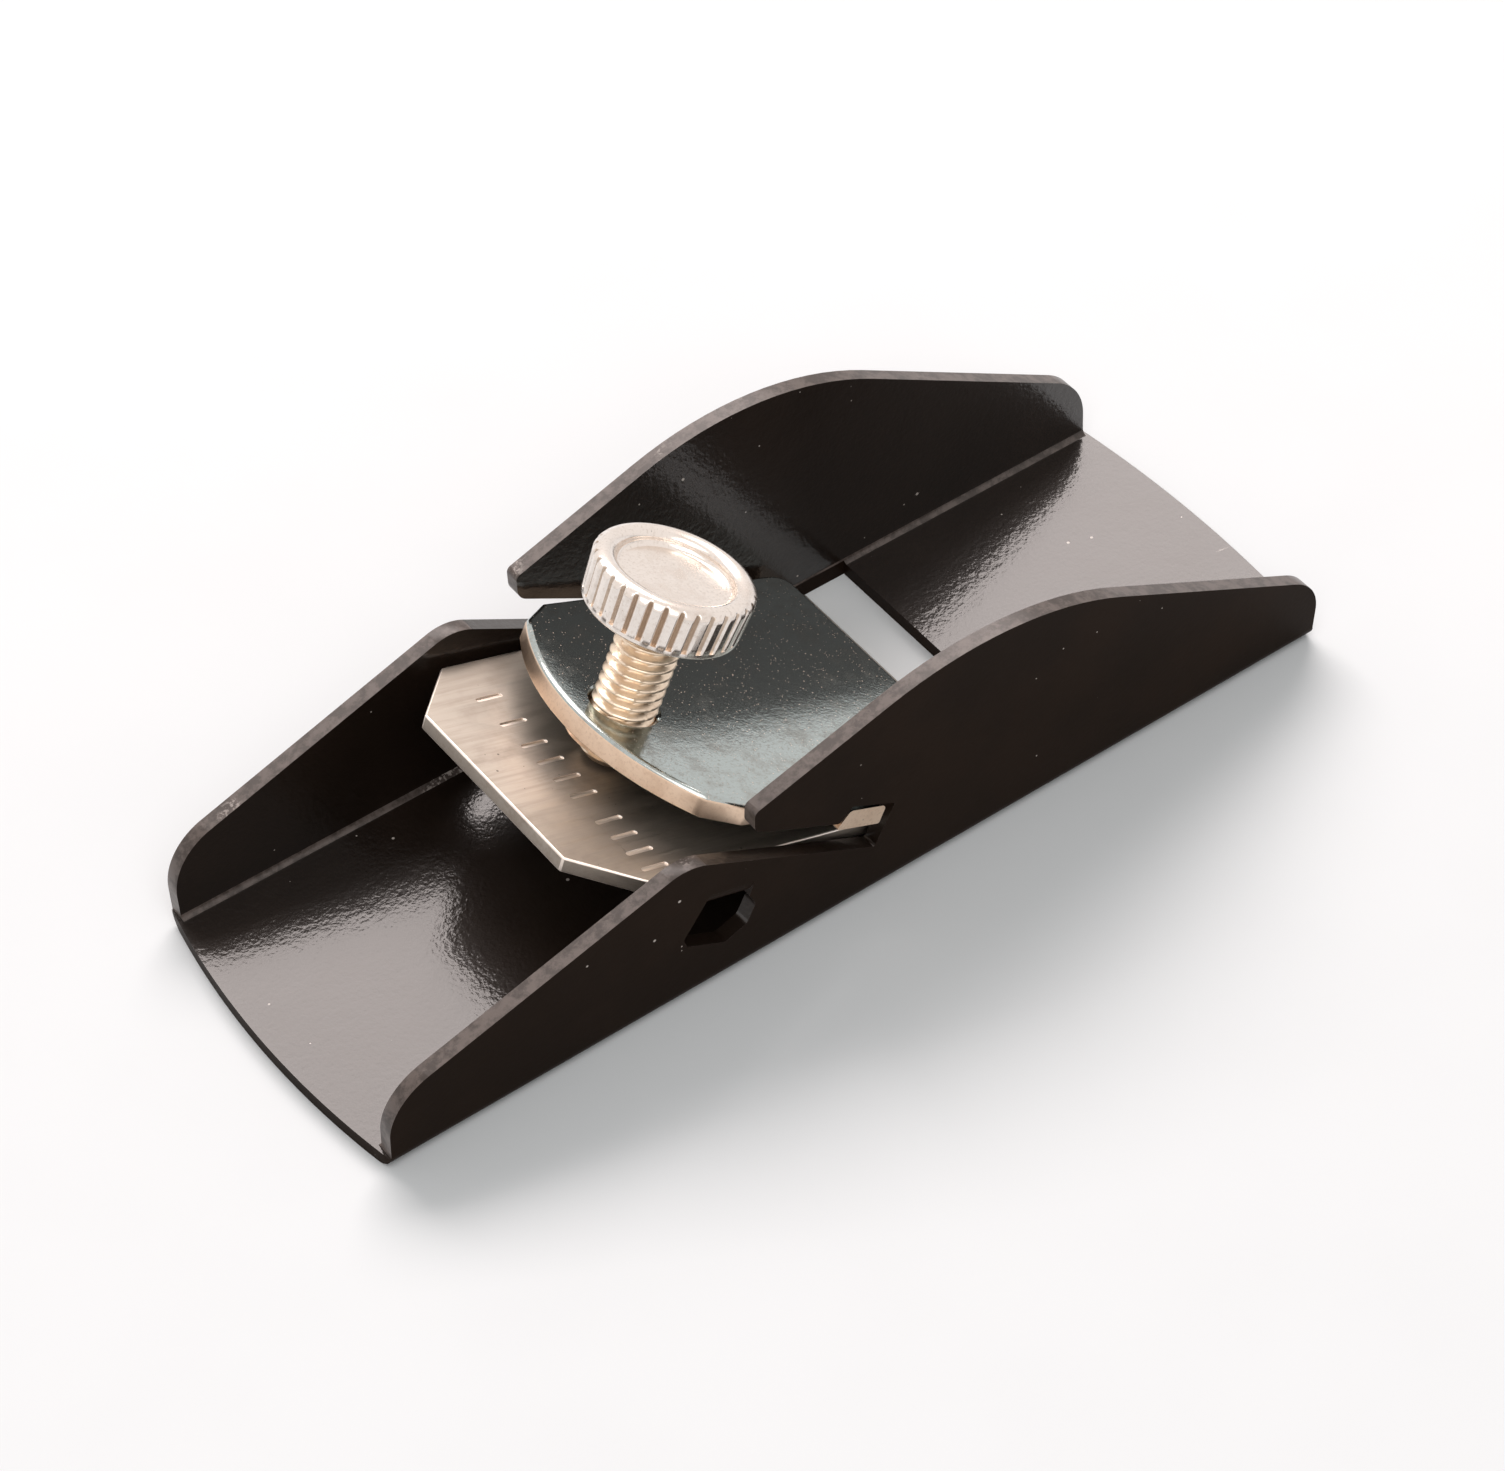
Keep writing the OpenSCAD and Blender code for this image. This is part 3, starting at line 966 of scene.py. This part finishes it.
    def mark_bends(self, obj: Solid) -> None:
        """Picks the finish of the sole's edges and of the inner bends, once the edges are round; the
        bends take the edge finish, whose lighter colour is a painted highlight along the fillet.

        Args:
            obj: the body's object.
        """
        s = self.s
        for face in obj.data.polygons:
            at, way = face.center / MM, face.normal
            inside = s.inner_w / 2 + self.bend_band - abs(at.y)
            level = abs(way.z) >= self.LEVEL
            in_bend = 0 < inside < self.fillet + 0.4 and at.z < s.sheet + self.fillet
            if at.z < s.sheet + self.low_band and (face.material_index == BodySkin.EDGE_SHEEN or not level):
                face.material_index = BodySkin.INSIDE if level else BodySkin.OUTSIDE_DIMMED
            elif in_bend and self.BEND[0] < way.z < self.BEND[1]:
                # The inner bend fillet takes the edge finish: a painted highlight along the bend.
                face.material_index = BodySkin.EDGE_SHEEN

    def on_top(self, at: Vector) -> bool:
        """Whether a point lies on the cheeks' upper outline or on their ends.

        Args:
            at: the point in millimetres.

        Returns:
            True if it does.
        """
        s = self.s
        crown = min(s.rear_line(at.x), s.front_line(at.x)) - self.crown_band
        return at.z > s.sheet + 0.2 and (at.z > crown or not s.heel_x + 0.1 < at.x < s.toe_x - 0.1)

    def dress(self, obj: Solid) -> None:
        """Gives the body its enamel, its dimmed outer faces as painted shade, its worn edges and bends
        with painted sheen, and its CAD body.

        Args:
            obj: the body's object.
        """
        Forge.paint(obj, self.FINISHES)
        self.mark_cheeks(obj)
        # The rounded arrises take the edge finish with its painted sheen.
        Forge.round_edges(obj, self.arris, BodySkin.EDGE_SHEEN)
        self.mark_bends(obj)
        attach(obj, Body.PLANE.value)
        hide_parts("plane_body")


class CutterSkin(IntEnum):
    """Finishes of the cutter, in slot order."""

    FLAT = 0
    WORN_GLINT = 1


@dataclass(frozen=True)
class Cutter:
    """Flat cutter with cut rear corners, a ground bevel and a row of stamped strokes."""

    s: Sizes
    arris: float = 0.13
    stroke_rear: float = -34.5
    stroke_front: float = -32.2
    stroke_w: float = 0.44
    stroke_depth: float = 0.14
    stroke_roundness: float = 0.98
    floor_above: float = 0.6

    FINISHES = (
        BrushedSteel("bare steel", colour=(0.42, 0.372, 0.322), stain=(0.24, 0.195, 0.16),
                     roughness=0.46),
        # Light steel on the arrises and stroke walls: partly real worn steel, partly a painted highlight
        # along the edges and strokes.
        BrushedSteel("worn steel", colour=(0.88, 0.8, 0.73), stain=(0.6, 0.5, 0.43), roughness=0.4),
    )
    # Place across the cutter of each group's first and last stroke, and how many it has.
    GROUPS = ((8.6, 5.6, 2), (3.0, -3.0, 4), (-6.0, -11.4, 4))

    def outline(self, front: float) -> list[Point]:
        """Outline from above, in the bed's frame.

        Args:
            front: where the front edge lies.

        Returns:
            The drawing, in X and Y.
        """
        s = self.s
        w, r = s.cutter_w / 2, s.cutter_rear_w / 2
        corner = -s.cutter_l + s.cutter_corner_l
        return [(-s.cutter_l, -r), (corner, -w), (front, -w), (front, w), (corner, w), (-s.cutter_l, r)]

    def strokes(self) -> list[float]:
        """Place across the cutter of each plain stamped stroke."""
        return [first + (last - first) * k / (count - 1)
                for first, last, count in self.GROUPS for k in range(count)]

    def build(self) -> Solid:
        """Builds the cutter.

        Returns:
            The cutter's object.
        """
        s = self.s
        bevel = s.cutter_t / tan(s.bevel_angle)
        low = [Vector((x, y, 0)) for x, y in self.outline(0.0)]
        high = [Vector((x, y, s.cutter_t)) for x, y in self.outline(-bevel)]
        return Forge.lathe("flat_cutter", [low, high], s.bed_matrix())

    def stamp(self, obj: Solid) -> None:
        """Cuts the strokes into the cutter and gives their walls its second finish, the light worn steel
        that paints a highlight along them.

        Args:
            obj: the cutter's object, whose edges are round already.
        """
        s = self.s
        rear, front = self.stroke_rear, self.stroke_front
        half = self.stroke_w / 2
        end = half * self.stroke_roundness
        for y in self.strokes():
            path = (Outline(arc_step=30.0).to(rear, y - half, end).to(front, y - half, end)
                    .to(front, y + half, end).to(rear, y + half, end).path())
            Forge.combine(obj, Forge.prism("stroke", path, Axis.Z, s.cutter_t - self.stroke_depth,
                                           s.cutter_t + OVER, s.bed_matrix()), Join.CUT)
        inverse = s.bed_matrix().inverted()
        # Stroke walls take the light worn steel: a painted highlight along the strokes.
        for face in obj.data.polygons:
            at = inverse @ face.center / MM
            if rear - half < at.x < front + half and self.floor_above < at.z < s.cutter_t - 0.01:
                face.material_index = CutterSkin.WORN_GLINT

    def dress(self, obj: Solid) -> None:
        """Gives the cutter its steel and its CAD body.

        Args:
            obj: the cutter's object.
        """
        Forge.paint(obj, self.FINISHES)
        # The rounded arrises take the light worn steel: painted highlight on real worn edges.
        Forge.round_edges(obj, self.arris, CutterSkin.WORN_GLINT, segments=2)
        self.stamp(obj)
        Forge.smooth(obj, 40.0)
        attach(obj, Body.BLADE.value)
        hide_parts("cutter")


class CapSkin(IntEnum):
    """Finishes of the lever cap, in slot order."""

    FACE = 0
    SIDE_REFLECTION = 1
    RIM_HIGHLIGHT = 2


@dataclass(frozen=True)
class LeverCap:
    """Nickelled cap with a round rear rim, side lugs and a collar round its tapped hole."""

    s: Sizes
    rim: float = 0.42
    arris: float = 0.12
    side_corner_r: float = 0.5
    lug_corner_r: float = 0.4
    lug_foot: float = 0.05
    lug_foot_r: float = 0.15
    collar_round: float = 0.45
    collar_step: float = 0.13
    collar_sink: float = 0.2
    bore_bevel: float = 0.25
    rim_steps: int = 36
    collar_sides: int = 64

    FINISHES = (
        Plating("cap plating", colour=(0.455, 0.51, 0.505), shade=(0.27, 0.23, 0.19), roughness=0.1,
                grain=0.0000075, flecks=0.4),
        # Warm copper on the cap's side faces: painted warm reflection of the surroundings on the nickel.
        Plating("rim plating", colour=(0.8, 0.61, 0.46), shade=(0.5, 0.34, 0.24), roughness=0.3,
                grain=0.000003),
        # Near-white plating on the rounded top rim: painted highlight.
        Plating("edge plating", colour=(0.88, 0.82, 0.76), shade=(0.6, 0.52, 0.45), roughness=0.34,
                grain=0.000002),
    )

    def outline(self) -> list[Point]:
        """Outline from above in the cap's frame, without the lugs.

        Returns:
            The drawing, in X and Y.
        """
        s = self.s
        half, rear = s.inner_w / 2 - s.cap_side_gap, s.cap_rear_w / 2
        centre = s.cap_rear_r - s.cap_l
        span = math.asin(rear / s.cap_rear_r)
        arc = [(centre - s.cap_rear_r * math.cos(a), s.cap_rear_r * math.sin(a))
               for a in (span - 2 * span * k / self.rim_steps for k in range(self.rim_steps + 1))]
        front = (Outline(arc_step=8.0).to(-s.cap_side_end, -half, self.side_corner_r)
                 .to(0, -half, s.cap_front_r).to(0, half, s.cap_front_r)
                 .to(-s.cap_side_end, half, self.side_corner_r).to(*arc[0]).to(*arc[-1]).path())
        return front[:-2] + arc

    def build(self) -> Solid:
        """Builds the lever cap.

        Returns:
            The cap's object.
        """
        s = self.s
        place = s.cap_matrix()
        obj = Forge.prism("lever_cap_plate", self.outline(), Axis.Z, 0, s.cap_t, place)
        Forge.clean(obj)
        self.round_rim(obj, place)
        top, lug_rear = s.cap_t - s.lug_drop, -s.lug_back - s.lug_l
        reach = s.inner_w / 2 + s.sheet + s.lean * s.on_cap(-s.lug_back - s.lug_l / 2, top / 2)[1]
        lugs = (Outline(arc_step=15.0).to(-s.lug_back, self.lug_foot, self.lug_foot_r)
                .to(-s.lug_back, top, self.lug_corner_r).to(lug_rear, top, self.lug_corner_r)
                .to(lug_rear - s.lug_rake, self.lug_foot, self.lug_foot_r).path())
        Forge.combine(obj, Forge.prism("lugs", lugs, Axis.Y, -reach, reach, place), Join.ADD)
        at = place @ Matrix.Translation((-s.screw_back * MM, 0, 0))
        r, low = s.collar_d / 2, -s.collar_h
        collar = ((r - self.collar_round, low), (r - self.collar_step, low + self.collar_step),
                  (r, low + self.collar_round), (r + 0.02, self.collar_sink))
        bore, bevel = s.screw_d / 2 + s.screw_play, self.bore_bevel
        hole = ((bore + self.collar_sink, low - self.collar_sink), (bore, low + bevel),
                (bore, s.cap_t - bevel),
                (bore + bevel + 0.05, s.cap_t + 0.05))
        for name, profile, join in (("collar", collar, Join.ADD), ("bore", hole, Join.CUT)):
            rows = [Forge.ring([radius] * self.collar_sides, z) for radius, z in profile]
            Forge.combine(obj, Forge.lathe(name, rows, at), join)
        return obj

    def round_rim(self, obj: Solid, place: Matrix) -> None:
        """Rounds the cap's top rim widely and its lower rim a little.

        Args:
            obj: the plate.
            place: the cap's frame in metres.
        """
        inverse = place.inverted()
        bm = bmesh.new()
        bm.from_mesh(obj.data)
        weight = bm.edges.layers.float.new("bevel_weight_edge")
        for edge in bm.edges:
            heights = [(inverse @ v.co).z / MM for v in edge.verts]
            if min(heights) > self.s.cap_t - 0.01:
                edge[weight] = 1.0
            elif max(heights) < 0.01:
                edge[weight] = self.arris / self.rim
        bm.to_mesh(obj.data)
        bm.free()
        mod = obj.modifiers.new("rim", "BEVEL")
        mod.width = self.rim * MM
        mod.segments = 4
        # The rounding takes the near-white plating: painted highlight.
        mod.material = CapSkin.RIM_HIGHLIGHT
        mod.limit_method = "WEIGHT"
        Forge.apply(obj)

    def dress(self, obj: Solid) -> None:
        """Gives the cap its plating, with a painted warm reflection on its sides and a painted highlight
        on its rounded top rim, and its CAD body.

        Args:
            obj: the cap's object.
        """
        Forge.paint(obj, self.FINISHES)
        inverse = self.s.cap_matrix().inverted()
        up = inverse.inverted().to_3x3() @ Vector((0, 0, 1))
        for face in obj.data.polygons:
            lean, at = face.normal.dot(up), inverse @ face.center / MM
            on_rim = face.material_index == CapSkin.RIM_HIGHLIGHT
            if on_rim and (abs(lean) > 0.995 or at.z < self.s.cap_t - self.rim):
                face.material_index = CapSkin.FACE if lean > 0.9 else CapSkin.SIDE_REFLECTION
            elif not on_rim and abs(lean) < 0.5:
                face.material_index = CapSkin.SIDE_REFLECTION
        Forge.smooth(obj, 35.0)
        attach(obj, Body.CAP.value)
        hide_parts("lever_cap")


@dataclass(frozen=True)
class Thumbscrew:
    """Plated screw with a helical thread and a dished, fluted head."""

    s: Sizes
    sides: int = 72
    rows_per_pitch: int = 10
    thread_depth: float = 0.46
    crest_gain: float = 1.25
    root_w: float = 0.08
    plain_end: float = 0.6
    fade_l: float = 0.5
    foot_bevel: float = 0.15
    lip: float = 0.55
    lip_reach: float = 0.3
    floor_reach: float = 1.6
    floor_core: float = 1.2
    side_steps: int = 5
    rim_steps: int = 12
    rim_steps_fluted: int = 9
    dish_steps: int = 7
    steps_per_flute: int = 14
    groove_share: float = 0.56
    shade_inset: float = 0.2

    SHANK_FINISHES = (
        # Gold tint on the nickel thread: painted warm reflection of the surroundings.
        Plating("thread plating", colour=(0.84, 0.7, 0.55), shade=(0.58, 0.42, 0.3), roughness=0.28,
                grain=0.000001),
    )
    HEAD_FINISHES = (
        Plating("head plating", colour=(0.84, 0.775, 0.72), shade=(0.52, 0.43, 0.36), roughness=0.2,
                grain=0.000001),
        # Darker plating in the deep flutes: painted shade in the grooves.
        Plating("flute plating", colour=(0.58, 0.47, 0.38), shade=(0.36, 0.27, 0.2), roughness=0.3,
                grain=0.000001),
    )
    FLUTE_SHADE_SLOT = 1

    @property
    def tip(self) -> float:
        """Height of the screw's end in the cap's frame."""
        s = self.s
        rise = math.radians(s.cap_slope - s.bed_slope)
        return (-(s.seat_gap + s.screw_back * math.sin(rise)) / math.cos(rise) + s.tip_gap
                + (s.screw_d / 2 - s.tip_bevel) * math.tan(rise))

    def place(self, height: float) -> Matrix:
        """Frame on the screw's axis at that height above the cap's underside."""
        return self.s.cap_matrix() @ Matrix.Translation((-self.s.screw_back * MM, 0, height * MM))

    def thread_radius(self, z: float, angle: float, top: float) -> float:
        """Radius of the thread's surface.

        Args:
            z: height above the screw's end.
            angle: direction round the axis, in radians.
            top: height at which the thread ends.

        Returns:
            The radius in millimetres.
        """
        s = self.s
        phase = (z / s.pitch - angle / (2 * math.pi)) % 1.0
        crest = min(1.0, max(0.0, self.crest_gain * abs(2 * phase - 1) - self.root_w))
        fade = min(1.0, max(0.0, (top - z) / self.fade_l))
        major = s.screw_d / 2
        end = major - s.tip_bevel + z
        return min(end, major - self.thread_depth * (1 - crest) * fade)

    def build_shank(self) -> Solid:
        """Builds the threaded shank.

        Returns:
            The shank's object.
        """
        s, n = self.s, self.sides
        length = s.cap_t + s.stem_l - s.head_play - self.tip
        count = round(length / s.pitch * self.rows_per_pitch)
        rows = []
        for k in range(count + 1):
            z = length * k / count
            rows.append(Forge.ring([self.thread_radius(z, 2 * math.pi * i / n, length - self.plain_end)
                                    for i in range(n)], z))
        for z in (length, length + s.spigot_l + s.head_play):
            rows.append(Forge.ring([s.spigot_d / 2] * n, z))
        return Forge.lathe("threaded_shank", rows, self.place(self.tip))

    def side_radius(self, z: float) -> float:
        """Radius of the head's tapered side at a height above its foot."""
        s = self.s
        return s.head_d / 2 - s.head_taper / 2 + s.head_taper / 2 * z / s.head_h

    def head_profile(self) -> list[tuple[float, float, float]]:
        """Rings of the head, from the bore out and round to the dish.

        Returns:
            For each ring its radius, its height, and the radius that the flutes are cut from,
            or 0 where there are none.
        """
        s, side, foot = self.s, self.side_radius, self.foot_bevel
        r, low, bore = s.head_d / 2, side(0.0), s.spigot_d / 2 + s.head_play
        flange = side(s.flange_h)
        out = [(bore, s.spigot_l + s.head_play, 0.0), (bore, foot, 0.0), (bore + foot, 0.0, 0.0),
               (low - foot, 0.0, 0.0), (low - 0.04, 0.05, 0.0), (low, foot, 0.0),
               (flange - 0.02, s.flange_h, 0.0), (flange, s.flange_h + 0.03, flange + 0.03)]
        start = s.head_h - s.head_rim_r
        rise = start - s.flange_h
        out += [(side(z), z, side(z)) for z in
                (s.flange_h + rise * k / self.side_steps for k in range(1, self.side_steps))]
        for k in range(self.rim_steps + 1):
            a = math.radians(90 * k / self.rim_steps)
            z = start + s.head_rim_r * math.sin(a)
            reach = side(z) if k < self.rim_steps_fluted else 0.0
            out.append((r - s.head_rim_r * (1 - math.cos(a)), z, reach))
        wall, floor = s.dish_d / 2 - self.lip_reach, s.head_h - s.dish_h
        crest, cove = r - s.head_rim_r - wall, s.dish_h - self.lip
        quarter = [math.radians(90 * k / self.dish_steps) for k in range(1, self.dish_steps + 1)]
        out += [(wall + crest * (1 - math.sin(a)), s.head_h - self.lip * (1 - math.cos(a)), 0.0)
                for a in quarter]
        out += [(wall - cove * (1 - math.cos(a)), floor + cove * (1 - math.sin(a)), 0.0) for a in quarter]
        return out + [(wall - self.floor_reach, floor, 0.0), (self.floor_core, floor, 0.0)]

    def build_head(self) -> Solid:
        """Builds the fluted head.

        Returns:
            The head's object.
        """
        s = self.s
        cuts = []
        for i in range(s.flutes * self.steps_per_flute):
            phase = (i / self.steps_per_flute) % 1.0
            aside = min(1.0, 2 * min(phase, 1 - phase) / self.groove_share)
            cuts.append(s.flute_depth * (0.5 + 0.5 * math.cos(math.pi * aside)))
        rows = [Forge.ring([min(r, reach - cut) if reach else r for cut in cuts], z)
                for r, z, reach in self.head_profile()]
        return Forge.lathe("fluted_head", rows, self.place(s.cap_t + s.stem_l))

    def in_flute_shade(self, at: Vector) -> bool:
        """Whether a point lies in the deep part of a flute, which takes the darker plating as painted
        shade.

        Args:
            at: the point in millimetres, in the head's frame.

        Returns:
            True if it does.
        """
        s = self.s
        r = s.head_d / 2
        phase = (math.atan2(at.y, at.x) / (2 * math.pi) * s.flutes) % 1.0
        deep = r - s.head_rim_r < math.hypot(at.x, at.y) < r - self.shade_inset
        return (deep and s.flange_h + 0.02 < at.z < s.head_h - 0.25
                and min(phase, 1 - phase) < self.groove_share / 4)

    def dress(self, shank: Solid, head: Solid) -> None:
        """Gives both pieces their plating, with painted shade in the head's flutes, and their CAD bodies.

        Args:
            shank: the shank's object.
            head: the head's object.
        """
        Forge.paint(shank, self.SHANK_FINISHES)
        Forge.paint(head, self.HEAD_FINISHES)
        inverse = self.place(self.s.cap_t + self.s.stem_l).inverted()
        for face in head.data.polygons:
            if self.in_flute_shade(inverse @ face.center / MM):
                face.material_index = self.FLUTE_SHADE_SLOT
        for obj, body, node in ((shank, Body.SCREW, "thumbscrew_shank"),
                                (head, Body.KNOB, "thumbscrew_head")):
            Forge.smooth(obj, 50.0)
            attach(obj, body.value)
            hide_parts(node)


@dataclass(frozen=True)
class Softbox:
    """Rectangular soft light that faces the plane."""

    name: str
    direction: Triple
    distance: float
    size: Point
    power: float
    colour: Colour

    def build(self) -> Solid:
        """Hangs the light.

        Returns:
            The light's object.
        """
        data = bpy.data.lights.new(self.name, "AREA")
        data.shape = "RECTANGLE"
        data.size, data.size_y = self.size
        data.energy = self.power
        data.color = self.colour
        obj = bpy.data.objects.new(self.name, data)
        bpy.context.scene.collection.objects.link(obj)
        way = Vector(self.direction).normalized()
        obj.location = way * self.distance
        obj.rotation_euler = (-way).to_track_quat("-Z", "Y").to_euler()
        return obj


@dataclass(frozen=True)
class Studio:
    """Paper floor, soft light and the photo's viewpoint."""

    eye: Triple = (-0.1294, -0.1783, 0.2399)
    right: Triple = (0.8018, -0.5974, -0.0126)
    forward: Triple = (0.4009, 0.5533, -0.7302)
    lens: float = 106.6
    sensor: float = 36.0
    nearest: float = 0.01
    farthest: float = 20.0
    room_light: float = 0.35
    room_colour: Colour = (1.0, 0.955, 0.93)
    paper_reach: float = 2500.0
    paper_top: float = -0.02
    paper_low: float = -2.0

    LIGHTS = (
        Softbox("window", direction=(0.28, 0.61, 0.75), distance=0.9, size=(0.86, 0.42), power=7.2,
                colour=(1.0, 0.9, 0.87)),
        Softbox("top", direction=(-0.3, -0.5, 1.0), distance=1.0, size=(0.8, 0.8), power=3.6,
                colour=(1.0, 0.98, 0.96)),
    )

    def floor(self) -> Solid:
        """Lays the paper that the plane stands on.

        Returns:
            The floor's object.
        """
        far = self.paper_reach
        corners = [(-far, -far), (far, -far), (far, far), (-far, far)]
        obj = Forge.prism("paper", corners, Axis.Z, self.paper_low, self.paper_top)
        Forge.paint(obj, (Paper(),))
        return obj

    def world(self) -> None:
        """Fills the room with even light, and shows it brighter to the camera and in the metal."""
        bpy.context.scene.world = bpy.data.worlds.new("room")
        room = Nodes(bpy.context.scene.world)
        ray = room.add("LightPath", {}).outputs
        seen = room.maths(Sum.LARGER, ray["Is Camera Ray"], ray["Is Glossy Ray"])
        seen = room.maths(Sum.LARGER, seen, ray["Is Transmission Ray"])
        strength = room.add("MapRange", {"Value": seen, "To Min": self.room_light, "To Max": 1.0})
        room.feed(room.tree.nodes["Background"], {"Color": (*self.room_colour, 1.0),
                                                  "Strength": strength.outputs["Result"]})

    def camera(self) -> None:
        """Sets up the camera where the photo was taken."""
        data = bpy.data.cameras.new("view")
        data.lens = self.lens
        data.sensor_width = self.sensor
        data.sensor_fit = "HORIZONTAL"
        data.clip_start = self.nearest
        data.clip_end = self.farthest
        obj = bpy.data.objects.new("view", data)
        bpy.context.scene.collection.objects.link(obj)
        back, right = -Vector(self.forward).normalized(), Vector(self.right)
        right = (right - right.project(back)).normalized()
        up = back.cross(right)
        turn = Matrix((right, up, back)).transposed().to_4x4()
        obj.matrix_world = Matrix.Translation(Vector(self.eye)) @ turn
        bpy.context.scene.camera = obj

    def build(self) -> None:
        """Builds the room, the lights, the floor and the camera, which are no part of the plane."""
        self.world()
        lamps = [lamp.build() for lamp in self.LIGHTS]
        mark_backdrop(self.floor(), *lamps)
        self.camera()
        view = bpy.context.scene.view_settings
        view.view_transform = "Standard"
        view.look = "None"
        view.exposure = 0.0
        view.gamma = 1.0


def write_boxes() -> None:
    shown = [list(corner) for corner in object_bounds()]
    for label, box in (("CAD", CAD_BOX), ("shown", shown)):
        LOG.info("%s box in mm: %s", label, [[round(v / MM, 3) for v in corner] for corner in box])


def main() -> None:
    """Builds and dresses every piece, then the studio."""
    logging.basicConfig(level=logging.INFO, format="%(message)s")
    sizes = Sizes()
    for kind in (PlaneBody, Cutter, LeverCap):
        piece = kind(sizes)
        obj = piece.build()
        piece.dress(obj)
        LOG.info("%s: %d faces", obj.name, len(obj.data.polygons))
    screw = Thumbscrew(sizes)
    shank, head = screw.build_shank(), screw.build_head()
    screw.dress(shank, head)
    LOG.info("%s: %d faces, %s: %d faces", shank.name, len(shank.data.polygons),
             head.name, len(head.data.polygons))
    Studio().build()
    write_boxes()


if __name__ == "__main__":
    main()
